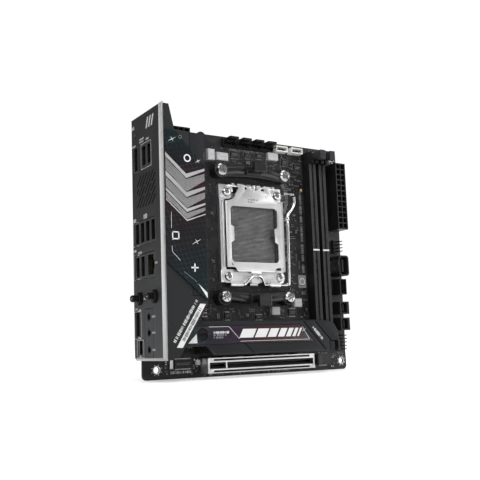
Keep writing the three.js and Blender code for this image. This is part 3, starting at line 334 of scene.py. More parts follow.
def grid_print(name, axis, stops, low, high, line_tint, cell=3.1):
    """A printed plate: colour bands along one axis under a fine, gently warped grid and faint sparks."""
    finish = Finish(name, Specular_IOR_Level=0.25, Coat_Weight=0.06, Coat_Roughness=0.2)
    x, _, z = finish.split()
    along = finish.range((x, z)[axis], low, high)
    wander = finish.math("MULTIPLY", finish.math("SUBTRACT", finish.noise(28.0, 1.0), 0.5), 0.3)
    base = finish.ramp(finish.math("ADD", along, wander, clamp=True), stops)
    warp = finish.math("MULTIPLY", finish.math("SUBTRACT", finish.noise(45.0, 1.0), 0.5), 7.0)
    lines = 0.0
    for value, lean, other in ((x, 0.35, z), (z, -0.2, x)):
        slanted = finish.math("ADD", value, finish.math("MULTIPLY", other, lean))
        phase = finish.math("ADD", finish.math("MULTIPLY", slanted, 2 * math.pi / (cell * MM)), warp)
        lines = finish.math("MAXIMUM", finish.range(finish.math("SINE", phase), 0.98, 0.998), lines)
    shown = finish.math("MULTIPLY", lines, finish.range(finish.noise(70.0, 2.0), 0.38, 0.6, 0.15, 0.8))
    drawn = finish.mix(shown, base, line_tint)
    glint = finish.range(finish.cells(260.0)["Distance"], 0.03, 0.07, 0.5, 0.0)
    finish.set("Base Color", finish.mix(glint, drawn, (0.4, 0.4, 0.42)))
    finish.set("Roughness", finish.range(shown, 0.0, 1.0, 0.36, 0.25))
    return finish.material


def hatched(name):
    """A chrome plate engraved with fine slanted lines, which alternate bright and dark."""
    finish = Finish(name, Metallic=1.0)
    x, _, z = finish.split()
    slanted = finish.math("ADD", x, finish.math("MULTIPLY", z, 1.25))
    wave = finish.math("SINE", finish.math("MULTIPLY", slanted, 2 * math.pi / (1.15 * MM)))
    lines = finish.range(wave, -0.15, 0.25)
    finish.set("Base Color", finish.mix(lines, (0.04, 0.04, 0.045), (0.8, 0.79, 0.78)))
    finish.set("Roughness", finish.range(lines, 0.0, 1.0, 0.55, 0.28))
    finish.set("Normal", finish.bump(lines, 0.05 * MM, 0.7))
    return finish.material


INSERT_STOPS = [  # dark teal through red to teal, up the port cover's insert
    (0.0, (0.001, 0.008, 0.009)), (0.3, (0.002, 0.004, 0.006)), (0.48, (0.010, 0.002, 0.003)),
    (0.72, (0.026, 0.002, 0.004)), (0.86, (0.004, 0.003, 0.005)), (1.0, (0.001, 0.009, 0.010)),
]
DRIVE_STOPS = [  # teal through violet to brown, along the drive heatsink's insert
    (0.0, (0.003, 0.030, 0.025)), (0.24, (0.010, 0.010, 0.018)), (0.42, (0.018, 0.008, 0.022)),
    (0.66, (0.030, 0.007, 0.008)), (1.0, (0.016, 0.007, 0.005)),
]


def grey(level):
    return (level, level, level)


def across(x):
    """A board x in the frame's metres."""
    return at(x, 0, 0).x


def upwards(y):
    """A board y in the frame's metres."""
    return at(0, y, 0).z


def make_finishes():
    """Every finish by name: each is one material, shared by the pieces it is on."""
    # Painted shade on the dark panel paint: its colour falls to 0.26 of itself towards board y 120 and is
    # full by board y 8.
    panel_painted_shade = (2, upwards(120), upwards(8), 0.26)
    return {
        "board": board_ink(),
        "dark_paint": coated("panel_paint", (0.032, 0.033, 0.035), 0.5, painted_shade=panel_painted_shade),
        "cover": coated("cover_texture", (0.0075, 0.008, 0.009), 0.55),
        "anodised": coated("anodised_aluminium", (0.012, 0.0125, 0.014), 0.45, 0.3, 2600.0, 0.02),
        "anodised_blue": coated("anodised_blue_grey", (0.0125, 0.0135, 0.0155), 0.42, 0.4, 2600.0, 0.02),
        "steel": steel("bright_pressed_steel", grey(0.9), 0.34, (40.0, 400.0, 400.0), 0.1, 0.06),
        "steel_long": steel("bright_rim_steel", grey(0.36), 0.3, (900.0, 900.0, 30.0), 0.12, 0.1),
        "wire": steel("drawn_wire", grey(0.8), 0.16, (700.0, 700.0, 60.0)),
        "screw": steel("plated_screw", grey(0.5), 0.16, (600.0, 600.0, 600.0), 0.08, 0.08),
        "shell": steel("port_shell_steel", grey(0.12), 0.34, (60.0, 700.0, 700.0)),
        "black_steel": coated("black_steel", grey(0.016), 0.35, 0.8, 2200.0, 0.02),
        "gold": steel("gold_contact", (0.72, 0.5, 0.2), 0.22, (500.0, 500.0, 500.0)),
        "tin": steel("tinned_contact", grey(0.62), 0.3, (500.0, 500.0, 500.0)),
        "contact": steel("spring_contact", grey(0.62), 0.36, (130.0, 130.0, 420.0), 0.3),
        "pin": steel("header_pin", grey(0.1), 0.32, (500.0, 500.0, 500.0)),
        "solder": steel("solder", grey(0.58), 0.26, (800.0, 800.0, 800.0), 0.2),
        "black": moulded("black_moulding", (0.0075, 0.0075, 0.008), 0.42, specular=0.25),
        "gloss_black": moulded("bracket_moulding", (0.008, 0.008, 0.0085), 0.27, 1400.0, 0.01, 0.6),
        "socket": moulded("socket_moulding", (0.035, 0.035, 0.037), 0.55),
        "contact_floor": moulded("contact_field", (0.05, 0.05, 0.053), 0.6),
        # Painted highlight: a light grey for the ribs along the memory sockets' black walls.
        "wall_highlight_grey": moulded("socket_wall_painted_highlight", (0.085, 0.086, 0.088), 0.4, 700.0),
        "latch": moulded("latch_moulding", (0.024, 0.025, 0.027), 0.45, specular=0.3),
        "white": moulded("white_moulding", (0.74, 0.74, 0.72), 0.45),
        "choke": coated("choke_ferrite", (0.46, 0.46, 0.47), 0.5, 0.1, 1800.0, 0.05),
        "ceramic": moulded("capacitor_ceramic", (0.115, 0.09, 0.07), 0.45, 4200.0),
        "resistor": moulded("resistor_glaze", (0.014, 0.014, 0.016), 0.35, 4200.0),
        "chip": moulded("chip_resin", (0.018, 0.018, 0.019), 0.5, 3200.0, 0.015),
        "tantalum": moulded("tantalum_resin", (0.6, 0.45, 0.2), 0.4),
        "ink": ink("white_ink", grey(0.72)),
        "caption_ink": ink("caption_ink", grey(0.4)),
        "grey_ink": ink("grey_ink", grey(0.24)),
        "hatched": hatched("hatched_chrome"),
        "insert": grid_print("insert_print", 1, INSERT_STOPS, upwards(50), upwards(155),
                             (0.035, 0.08, 0.085)),
        "drive_print": grid_print("drive_print", 0, DRIVE_STOPS, across(10), across(112),
                                  (0.05, 0.045, 0.055), 4.4),
        "lamp": moulded("light_window", (0.55, 0.42, 0.12), 0.25),
    }


# ---- meshes ----
class Mesh:
    """Collects simple closed solids, in board millimetres, and makes one object of them."""

    def __init__(self, *finishes):
        self.finishes = finishes
        self.points = []
        self.faces = []
        self.looks = []

    def add(self, points, faces, look=0):
        first = len(self.points)
        self.points += points
        self.faces += [tuple(first + i for i in face) for face in faces]
        self.looks += [look] * len(faces)

    def loft(self, rings, look=0):
        """Joins rings of as many points each, and closes both ends. They run upwards, each anticlockwise."""
        count = len(rings[0])
        points = [tuple(p) for ring in rings for p in ring]
        faces = [tuple(reversed(range(count)))]
        for level in range(len(rings) - 1):
            low, high = level * count, (level + 1) * count
            for i in range(count):
                j = (i + 1) % count
                faces.append((low + i, low + j, high + j, high + i))
        faces.append(tuple(range(len(points) - count, len(points))))
        self.add(points, faces, look)

    def prism(self, outline, z0, z1, look=0):
        """A flat outline raised from z0 to z1."""
        self.loft([[(x, y, z) for x, y in outline] for z in (z0, z1)], look)

    def block(self, x0, x1, y0, y1, z0, z1, look=0, bevel=0.0):
        """A rectangular block, its top edges chamfered by bevel."""
        insets = [(z0, 0), (z1 - bevel, 0)] + ([(z1, bevel)] if bevel else [])
        self.loft([[(x, y, z) for x, y in rectangle(x0 + inset, x1 - inset, y0 + inset, y1 - inset)]
                   for z, inset in insets], look)

    def stud(self, x, y, half_x, half_y, z0, z1, look=0, bevel=0.0):
        """A block about the middle x and y."""
        self.block(x - half_x, x + half_x, y - half_y, y + half_y, z0, z1, look, bevel)

    def bar(self, x0, x1, y, half, z0, z1, look=0, bevel=0.0):
        """A block about the middle line y."""
        self.block(x0, x1, y - half, y + half, z0, z1, look, bevel)

    def turned(self, centre, profile, look=0, sides=24, axis="z", shape=None):
        """(radius, height) steps turned about an axis. shape may bend a radius with the angle."""
        rings = []
        for step, (radius, height) in enumerate(profile):
            ring = []
            for angle in around(sides):
                reach = shape(step, radius, angle) if shape else radius
                a, b = centre[0] + reach * math.cos(angle), centre[1] + reach * math.sin(angle)
                ring.append((a, b, height) if axis == "z" else (height, a, b))
            rings.append(ring)
        self.loft(rings, look)

    def stroke(self, points, width, z0, z1, look=0):
        """A flat line of one width through the points."""
        for (xa, ya), (xb, yb) in zip(points, points[1:]):
            length = math.dist((xa, ya), (xb, yb))
            dx, dy = (xb - xa) / length * width / 2, (yb - ya) / length * width / 2
            corners = [(xa - dx + dy, ya - dy - dx), (xb + dx + dy, yb + dy - dx),
                       (xb + dx - dy, yb + dy + dx), (xa - dx - dy, ya - dy + dx)]
            self.prism(corners, z0, z1, look)

    def piece(self, name, slot, body="board", smooth=None):
        mesh = bpy.data.meshes.new(name)
        mesh.from_pydata([at(*p) for p in self.points], [], self.faces)
        for finish in self.finishes:
            mesh.materials.append(FINISHES[finish])
        mesh.polygons.foreach_set("material_index", self.looks)
        made = bpy.data.objects.new(name, mesh)
        SCENE.collection.objects.link(made)
        if smooth:
            soften(mesh, smooth)
        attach(made, body)
        return made


def soften(mesh, degrees):
    """Shades a mesh smooth, except across edges sharper than the angle."""
    mesh.polygons.foreach_set("use_smooth", [True] * len(mesh.polygons))
    mesh.set_sharp_from_angle(angle=math.radians(degrees))


def rounded(node, finish, width, segments=2):
    """A copy of a CAD node with whole flat faces and rounded edges, which stands for that node."""
    source = frame["nodes"][node]
    mesh = source.data.copy()
    mesh.name = node + "_finished"
    work = bmesh.new()
    work.from_mesh(mesh)
    bmesh.ops.remove_doubles(work, verts=work.verts, dist=1e-6)
    bmesh.ops.dissolve_limit(work, angle_limit=math.radians(0.6), verts=work.verts, edges=work.edges)
    sharp = [e for e in work.edges if len(e.link_faces) == 2 and e.calc_face_angle() > math.radians(28)]
    if width:
        bmesh.ops.bevel(work, geom=sharp, offset=width * MM, segments=segments, profile=0.6, affect="EDGES",
                        clamp_overlap=True)
    work.to_mesh(mesh)
    work.free()
    mesh.materials.clear()
    mesh.materials.append(FINISHES[finish])
    mesh.polygons.foreach_set("material_index", [0] * len(mesh.polygons))
    soften(mesh, 24)
    made = bpy.data.objects.new(node + "_finished", mesh)
    SCENE.collection.objects.link(made)
    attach(made, source["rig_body"])
    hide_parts(node)
    return made


def dress(node, finish):
    """Gives a CAD node that stays as it is its finish."""
    mesh = frame["nodes"][node].data
    mesh.materials.clear()
    mesh.materials.append(FINISHES[finish])
    mesh.polygons.foreach_set("material_index", [0] * len(mesh.polygons))


FINISHES = make_finishes()
make_camera()

# ---- the CAD's own pieces ----
SHELLS = ["usb_stack_tall", "usb_stack_low", "network_jack", "usb_stack_top", "video_port"]
HEADERS = ["front_usb_c_header", "front_usb_header", "drive_port_1", "drive_port_2", "side_pin_header",
           "front_panel_header", *numbered("fan_header", 4)]

ROUNDED = [  # finish, edge radius in millimetres, material slot, CAD nodes
    ("dark_paint", 0.12, "dark_panel", "port_panel"),
    ("steel_long", 0.12, "bright_steel", "shield_frame"),
    ("cover", 0.35, "cover_plastic", "port_cover"),
    ("anodised", 0.25, "heatsink", "power_heatsink"),
    ("insert", 0.12, "printed_insert", "cover_insert"),
    ("socket", 0.15, "socket_plastic", "socket_body"),
    ("steel", 0.18, "bright_steel", "socket_frame"),
    ("steel", 0.22, "bright_steel", "load_plate"),
    ("black_steel", 0.25, "black_steel", "rear_plate"),
    ("gloss_black", 0.8, "black_plastic", "cooler_bracket_high", "cooler_bracket_low"),
    ("black", 0.18, "black_plastic", "memory_socket_1", "memory_socket_2"),
    ("latch", 0.35, "latch_plastic", "memory_latch_1", "memory_latch_2"),
    ("black", 0.16, "black_plastic", "main_power_connector", "processor_power_connector"),
    ("white", 0.15, "pale_plastic", "light_header_1", "light_header_2"),
    ("anodised_blue", 0.2, "heatsink", "drive_heatsink"),
    ("drive_print", 0.08, "printed_insert", "drive_heatsink_insert"),
    ("black_steel", 0.25, "black_steel", "drive_heatsink_screw"),
    ("black", 0.4, "black_plastic", "drive_release_catch", "slot_latch"),
    ("steel", 0.15, "bright_steel", "slot_armour"),
    ("black", 0.1, "black_plastic", "card_slot"),
    ("shell", 0.2, "bright_steel", "usb_c_port"),
    ("black", 0.2, "black_plastic", "aux_port"),
    ("dark_paint", 0.2, "black_plastic", "audio_jack_block"),
    ("latch", 0.25, "pale_plastic", "update_button"),
    ("black", 0.15, "black_plastic", "drive_riser"),
    ("anodised", 0.15, "heatsink", "chipset_heatsink"),
    ("shell", 0.15, "port_shell", *SHELLS),
    ("black", 0.12, "black_plastic", *HEADERS),
    ("screw", 0.25, "screw_steel", *numbered("cooler_screw", 4)),
]


def finish_cad_pieces():
    for finish, radius, slot, *nodes in ROUNDED:
        for node in nodes:
            rounded(node, finish, radius)
    dress("circuit_board", "board")
    dress("load_plate_pin", "wire")


# ---- circuit board ----
SEAT_OFFSET = 3.3  # a stand-off seat lies this far inwards of its hole
INK = 0.04  # thickness of printed ink


def holes():
    """The mounting holes' axes, found from the stand-off seats beside them."""
    found = []
    for mount in frame["record"]["mounts"]:
        if mount["name"].startswith("standoff_seat"):
            x = (mount["pos_m"][0] - BOARD_LOW.x) / MM
            y = (mount["pos_m"][2] - BOARD_LOW.z) / MM
            found.append((x - SEAT_OFFSET if x < BOARD_SIZE / 2 else x + SEAT_OFFSET, y))
    return found


def washer(mesh, centre, inner, outer, z0, z1, look=0, sides=32, axis="z", square=False):
    """A flat ring, as one closed solid. A square one is a square tile with a round hole."""
    points, faces = [], []
    for i, angle in enumerate(around(sides)):
        rim_at = outer / max(abs(math.cos(angle)), abs(math.sin(angle))) if square else outer
        for radius, height in ((inner, z0), (rim_at, z0), (rim_at, z1), (inner, z1)):
            a, b = centre[0] + radius * math.cos(angle), centre[1] + radius * math.sin(angle)
            points.append((a, b, height) if axis == "z" else (height, a, b))
        for edge in range(4):
            here, there = 4 * i, 4 * ((i + 1) % sides)
            faces.append((here + edge, there + edge, there + (edge + 1) % 4, here + (edge + 1) % 4))
    mesh.add(points, faces, look)


def dome(mesh, x, y, radius, z0, height, look=0, sides=8):
    """A solder joint: a low dome that stands on z0, or hangs from it where height is negative."""
    steps = [(1.0, 0.0), (0.82, 0.45), (0.45, 0.85), (0.12, 1.0)]
    if height < 0:
        steps.reverse()
    mesh.turned((x, y), [(radius * r, z0 + height * h) for r, h in steps], look, sides)


def make_hole_pads():
    """A tinned ring and eight solder dots around each mounting hole, on both faces."""
    thin, dot_ring, dot, rise = 0.06, 3.55, 0.42, 0.16
    mesh = Mesh("tin", "solder")
    for x, y in holes():
        for z0 in (0.0, -THICKNESS - thin):
            washer(mesh, (x, y), 2.02, 2.75, z0, z0 + thin)
        for angle in around(8, 0.5):
            px, py = x + dot_ring * math.cos(angle), y + dot_ring * math.sin(angle)
            dome(mesh, px, py, dot, 0.0, rise, 1)
            dome(mesh, px, py, dot, -THICKNESS, -rise, 1)
    mesh.piece("mounting_hole_pads", "board", smooth=40)


# Places of the large surface parts: x0, x1, y0, y1 and height.
CHOKES = [
    (51.6, 57.1, 150.8, 158.9, 3.6), (58.9, 68.3, 151.3, 157.2, 3.6), (103.0, 112.0, 156.0, 161.7, 3.6),
    (101.5, 108.2, 41.2, 47.2, 3.2), (121.4, 128.4, 47.0, 53.1, 3.2),
]
CHIPS = [
    (22.8, 35.6, 6.6, 12.6, 1.4), (117.0, 122.4, 153.6, 158.4, 1.0), (128.2, 134.6, 150.0, 156.0, 1.2),
    (72.0, 79.0, 155.0, 160.0, 1.0), (84.4, 88.4, 156.0, 160.0, 0.9), (117.4, 124.4, 40.6, 45.6, 1.1),
    (62.6, 67.6, 38.6, 43.4, 1.0), (88.4, 94.4, 38.4, 41.4, 0.9), (42.0, 47.4, 56.0, 61.4, 1.0),
    (153.6, 157.6, 60.0, 66.0, 1.0), (143.0, 151.0, 4.0, 10.0, 1.2), (153.4, 157.8, 86.0, 90.4, 0.9),
    (114.8, 118.8, 126.0, 130.0, 0.8), (45.0, 49.6, 151.0, 156.0, 1.0), (94.2, 100.2, 156.6, 160.6, 1.0),
    (92.0, 112.0, 15.8, 35.8, 2.3),  # the chipset, under its heatsink
]


def make_chokes():
    """Moulded inductors: a chamfered ferrite block, a seam, two folded terminals and a dot."""
    mesh = Mesh("choke", "tin", "grey_ink")
    for x0, x1, y0, y1, height in CHOKES:
        mesh.block(x0, x1, y0, y1, 0.25, height, 0, 0.35)
        mesh.block(x0 - 0.12, x1 + 0.12, y0 + 0.9, y1 - 0.9, 0.02, 0.9, 1, 0.1)
        mesh.stud((x0 + x1) / 2, (y0 + y1) / 2, (x1 - x0) / 2 - 0.6, 0.08, height - 0.1, height + 0.03, 2)
        dome(mesh, x0 + 1.2, y1 - 1.2, 0.4, height - 0.03, 0.06, 2, 12)
    mesh.piece("power_chokes", "board", smooth=25)


def leads(mesh, x0, x1, y0, y1, pitch, look):
    """Gull-wing leads along the two long sides of a chip."""
    wide = x1 - x0 >= y1 - y0
    low, high = (x0, x1) if wide else (y0, y1)
    count = int((high - low - 0.6) / pitch)
    for i in range(count):
        middle = (low + high) / 2 + (i - (count - 1) / 2) * pitch
        along = (middle - pitch * 0.22, middle + pitch * 0.22)
        for edge, out in (((y0 if wide else x0), -1), ((y1 if wide else x1), 1)):
            foot = sorted((edge - out * 0.3, edge + out * 0.75))
            sides = (*along, *foot) if wide else (*foot, *along)
            mesh.block(*sides, 0.02, 0.22, look)


def make_chips():
    mesh = Mesh("chip", "tin", "grey_ink")
    for x0, x1, y0, y1, height in CHIPS:
        mesh.block(x0, x1, y0, y1, 0.12, height, 0, 0.18)
        leads(mesh, x0, x1, y0, y1, 0.65, 1)
        dome(mesh, x0 + 0.8, y0 + 0.8, 0.26, height - 0.02, 0.04, 2, 12)
        for row in range(2):
            y = (y0 + y1) / 2 + 0.5 - row
            mesh.block(x0 + 1.3, x1 - 1.2 - row * 0.7, y - 0.14, y + 0.14, height - 0.02, height + 0.015, 2)
    mesh.piece("surface_chips", "board", smooth=25)


ZONES = [  # x0, x1, y0, y1 and how many rows of small parts are tried there
    (38, 136, 147, 162, 460), (113, 136, 134, 148, 150), (114, 131, 62, 126, 60), (38, 57, 60, 148, 70),
    (30, 136, 38, 62, 480), (14, 41, 1.5, 24, 90), (133, 168, 1.5, 14, 90), (152.6, 158.4, 16, 106, 150),
    (136, 169, 165, 169, 30), (43, 132, 0.8, 2.4, 40), (156, 169, 158, 168, 40), (27, 40, 24, 50, 60),
    (64, 112, 58, 64, 30),
]
SMALL_PARTS = [  # length, width, height, finish index, share
    (1.0, 0.5, 0.5, 0, 0.34), (1.0, 0.5, 0.35, 1, 0.30), (1.6, 0.8, 0.8, 0, 0.14), (1.6, 0.8, 0.45, 1, 0.10),
    (2.0, 1.25, 1.1, 0, 0.06), (3.2, 1.6, 1.4, 0, 0.02), (2.9, 1.5, 1.0, 2, 0.04),
]
# Nodes that small parts may lie under or behind.
OPEN_NODES = {"circuit_board", "load_lever", "drive_heatsink", "drive_heatsink_insert", "rear_plate"}


def taken_places():
    """Footprints on the component face that no small part may cover."""
    places = []
    for node in frame["nodes"]:
        x0, x1, y0, y1, z0, z1 = span(node)
        if node not in OPEN_NODES and z0 < 3.0 and z1 > 0.2:
            places.append((x0, x1, y0, y1))
    places += [(x0 - 0.9, x1 + 0.9, y0 - 0.9, y1 + 0.9) for x0, x1, y0, y1, _ in CHOKES + CHIPS]
    places += [(x - 4.6, x + 4.6, y - 4.6, y + 4.6) for x, y in holes()]
    badge = (127.4, 135.6, 60.6, 71.4)
    long_caption = (130.6, 135.4, 72, 138)
    heatsink_side = (25, 53, 50, 136)
    return places + [badge, long_caption, heatsink_side]


def overlaps(place, others):
    x0, x1, y0, y1 = place
    return any(a < x1 and b > x0 and c < y1 and d > y0 for a, b, c, d in others)


def small_part(mesh, x, y, part, upright):
    """A chip capacitor or resistor with a tinned cap at each end, lying along x or along y."""
    length, width, height, look, _ = part
    along, across = (width, length) if upright else (length, width)
    cap = length * 0.22  # length of a tinned end
    mesh.stud(x, y, along / 2 - 0.02, across / 2 - 0.02, 0.03, height - 0.02, look, min(0.08, height / 5))
    for side in (-1, 1):
        shift = side * (length - cap) / 2
        place = (x, y + shift, width / 2, cap / 2) if upright else (x + shift, y, cap / 2, width / 2)
        mesh.stud(*place, 0.02, height, 3, min(0.07, height / 6))


def on_grid(value):
    """The nearest half millimetre."""
    return round(value * 2) / 2


def make_small_parts(seed=11):
    """Rows of small parts, scattered over the free zones of the board on a half-millimetre grid."""
    draw = random.Random(seed)
    taken = taken_places()
    space = 0.15  # kept free around a row
    mesh = Mesh("ceramic", "resistor", "chip", "tin")
    marks = Mesh("grey_ink")
    for x0, x1, y0, y1, tries in ZONES:
        for _ in range(tries):
            part = draw.choices(SMALL_PARTS, [p[4] for p in SMALL_PARTS])[0]
            upright = draw.random() < 0.55
            count = draw.choice((1, 1, 2, 3, 4, 6)) if part[0] < 2 else draw.choice((1, 2))
            pitch = part[1] + 0.5
            long, run = part[0] + 0.4, count * pitch
            wide, tall = (run, long) if upright else (long, run)
            if x1 - x0 <= wide or y1 - y0 <= tall:
                continue
            x = on_grid(draw.uniform(x0 + wide / 2, x1 - wide / 2))
            y = on_grid(draw.uniform(y0 + tall / 2, y1 - tall / 2))
            half_x, half_y = wide / 2, tall / 2
            here = (x - half_x - space, x + half_x + space, y - half_y - space, y + half_y + space)
            if overlaps(here, taken):
                continue
            taken.append(here)
            for i in range(count):
                shift = (i - (count - 1) / 2) * pitch
                place = (x + shift, y) if upright else (x, y + shift)
                small_part(mesh, *place, part, upright)
            if draw.random() < 0.3:
                mark_end = here[0] + draw.uniform(0.8, 1.6)
                marks.block(here[0], mark_end, here[3] - 0.02, here[3] + 0.2, 0.0, INK)
    mesh.piece("small_surface_parts", "board", smooth=25)
    marks.piece("part_marks", "board")


def ticks(mesh, start, end, height, draw, look=0, z=0.0, gap=0.28):
    """A line of short bars across the way from start to end, like a printed caption with no letters in it."""
    length = math.dist(start, end)
    way = (Vector(end) - Vector(start)).normalized()
    side = Vector((-way.y, way.x))
    where = 0.0
    while where < length - 0.4:
        bar = draw.choice((0.22, 0.3, 0.42, 0.6))
        if draw.random() < 0.84:
            half = side * height * draw.choice((1.0, 1.0, 0.75)) / 2
            middle = Vector(start) + way * (where + bar / 2)
            mesh.stroke([middle + half, middle - half], bar, z, z + INK, look)
        where += bar + gap


def make_board_print(seed=5):
    """Pale captions, outlines and bundles of uncovered tracks on the component face."""
    draw = random.Random(seed)
    mesh = Mesh("grey_ink", "ink", "tin")
    ticks(mesh, (133.2, 134.0), (133.2, 72.6), 1.9, draw, 0, gap=0.42)
    ticks(mesh, (40.6, 66.0), (40.6, 92.0), 1.2, draw)
    ticks(mesh, (48.2, 104.0), (48.2, 138.0), 1.0, draw)
    ticks(mesh, (118.5, 132.0), (127.5, 132.0), 1.1, draw, 1)
    ticks(mesh, (18.0, 20.5), (38.0, 20.5), 1.1, draw)
    ticks(mesh, (20.0, 4.2), (36.0, 4.2), 1.2, draw, 1)
    ticks(mesh, (136.0, 12.2), (152.0, 12.2), 1.1, draw)
    ticks(mesh, (70.0, 161.2), (104.0, 161.2), 0.8, draw)
    for x0, x1, y0, y1, _ in CHOKES + CHIPS:
        corners = rectangle(x0 - 0.6, x1 + 0.6, y0 - 0.6, y1 + 0.6)
        mesh.stroke(corners + corners[:1], 0.16, 0.0, INK)
    for i in range(5):
        shift = i * 0.75
        mesh.stroke([(114.8 + shift, 140.0), (118.4 + shift, 133.4), (118.4 + shift, 122.0 + shift),
                     (115.6 + shift, 117.0)], 0.2, 0.0, 0.03, 2)
    mesh.block(128.2, 135.2, 61.4, 70.8, 0.0, INK)
    mesh.piece("board_print", "board")
    badge = Mesh("ink", "board")
    washer(badge, (131.7, 66.1), 2.0, 2.5, INK, 0.08)
    badge.stroke([(129.6, 63.0), (133.8, 63.0)], 0.4, INK, 0.08, 1)
    badge.piece("board_badge", "board")


def make_loose_parts():
    """A tantalum capacitor, a crystal, a coin-cell connector and a few status lights."""
    mesh = Mesh("tantalum", "tin", "white", "lamp")
    mesh.block(133.2, 134.5, 134.8, 136.6, 0.1, 1.3, 0, 0.2)
    mesh.block(133.1, 134.6, 134.4, 135.0, 0.05, 0.7, 1)
    mesh.block(133.1, 134.6, 136.4, 137.0, 0.05, 0.7, 1)
    mesh.block(19.4, 21.7, 6.6, 12.6, 0.1, 1.5, 1, 0.3)
    mesh.block(38.6, 41.4, 8.4, 12.0, 0.1, 2.6, 2, 0.2)
    for x, y in ((136.6, 10.2), (138.4, 10.2), (140.2, 10.2), (154.6, 108.6), (154.6, 110.6)):
        mesh.stud(x, y, 0.4, 0.8, 0.02, 0.6, 3, 0.1)
    mesh.piece("loose_parts", "board", smooth=25)


# ---- rear ports ----
PANEL = span("port_panel")
FACE = PANEL[0]
USB_PITCH = 7.85
USB_MOUTH_HALF = (6.6, 2.8)
SHELL_WALL = 1.0


def usb_mouths():
    """The middles of the rectangular mouths, as (y, z)."""
    found = []
    for node, count in (("usb_stack_tall", 4), ("usb_stack_low", 2), ("usb_stack_top", 2)):
        top = span(node)[5] - SHELL_WALL - USB_MOUTH_HALF[1]
        found += [(middle_of(node)[1], top - i * USB_PITCH) for i in range(count)]
    return found


def rim(mesh, y0, y1, z0, z1, wall, x0, x1, look=0):
    """A rectangular frame around a mouth, standing across x."""
    for low in (z0, z1 - wall):
        mesh.block(x0, x1, y0, y1, low, low + wall, look)
    for low in (y0, y1 - wall):
        mesh.block(x0, x1, low, low + wall, z0 + wall, z1 - wall, look)


def make_port_insides():
    """Tongues, contacts, springs and rims inside the ports' mouths."""
    mesh = Mesh("black", "gold", "shell", "lamp")
    half_y, half_z = USB_MOUTH_HALF
    for y, z in usb_mouths():
        mesh.bar(-3.2, 7.3, y, 5.7, z + 0.1, z + 2.0, 0, 0.2)
        for i in range(4):
            mesh.bar(-2.6, 7.0, y + (i - 1.5) * 2.4, 0.5, z + 0.02, z + 0.12, 1)
        rim(mesh, y - half_y, y + half_y, z - half_z, z + half_z, 0.3, -5.75, -4.9, 2)
        for side in (-1, 1):
            mesh.bar(-4.9, -1.0, y + side * 3.2, 0.9, z - half_z, z - half_z + 0.35, 2)
        mesh.bar(6.9, 7.2, y, half_y, z - half_z, z + half_z, 0)
    y = middle_of("network_jack")[1]
    z0, z1 = span("network_jack")[4:]
    for i in range(8):
        mesh.bar(-4.0, 5.0, y + (i - 3.5) * 1.02, 0.18, z0 + 4.8, z0 + 5.3, 1)
    for side in (-1, 1):
        mesh.bar(-5.78, -4.0, y + side * 6.9, 0.7, z1 - 2.4, z1 - 0.9, 3, 0.1)
    y = middle_of("video_port")[1]
    z = span("video_port")[5] - SHELL_WALL - 2.8
    mesh.bar(-3.0, 7.2, y, 6.0, z - 0.7, z + 0.7, 0, 0.2)
    for i in range(10):
        mesh.bar(-2.6, 6.8, y + (i - 4.5) * 1.1, 0.25, z + 0.66, z + 0.78, 1)
    small_tongues = (("usb_c_port", -4.0, 3.2, 2.2, 0.4), ("aux_port", -3.4, 5.4, 2.4, 0.6))
    for node, front, half_width, rise, half in small_tongues:
        z = span(node)[4] + SHELL_WALL + rise
        mesh.bar(front, 3.2, middle_of(node)[1], half_width, z - half, z + half, 0, half / 4)
    mesh.piece("port_insides", "port_shell", smooth=25)


JACK_Y = (39.9, 30.1, 19.7)
JACK_Z = 24.0


def make_audio_face():
    """The panel's face around the three audio jacks: a tile with a round hole for each, and strips."""
    _, _, y0, y1, _, z1 = span("audio_jack_block")
    half = 4.9
    z0 = JACK_Z - 5.5
    front, back = FACE + 0.03, FACE + 0.5
    mesh = Mesh("dark_paint")
    for y in JACK_Y:
        washer(mesh, (y, JACK_Z), 2.7, half, front, back, 0, 32, "x", True)
    for low, high in ((z0, JACK_Z - half), (JACK_Z + half, z1)):
        mesh.block(front, back, y0, y1, low, high)
    edges = [y + side * half for y in sorted(JACK_Y) for side in (-1, 1)][1:] + [y1]
    for low, high in zip(edges[::2], edges[1::2]):
        if high - low > 0.01:
            mesh.block(front, back, low, high, JACK_Z - half, JACK_Z + half)
    mesh.piece("audio_face", "dark_panel")


def make_jack_rings():
    mesh = Mesh("black_steel", "pin", "black")
    for y in JACK_Y:
        washer(mesh, (y, JACK_Z), 1.85, 2.6, FACE + 0.1, FACE + 0.6, 0, 40, "x")
        washer(mesh, (y, JACK_Z), 1.75, 1.95, FACE + 0.2, FACE + 3.0, 1, 32, "x")
        mesh.turned((y, JACK_Z), [(1.6, 5.0), (1.6, 7.9)], 2, 20, "x")
    mesh.piece("jack_rings", "black_plastic", smooth=30)


def hexagon(_, radius, angle):
    """The reach of a hexagon's side at an angle, for a radius at its corners."""
    return radius * math.cos(math.pi / 6) / math.cos(angle % (math.pi / 3) - math.pi / 6)


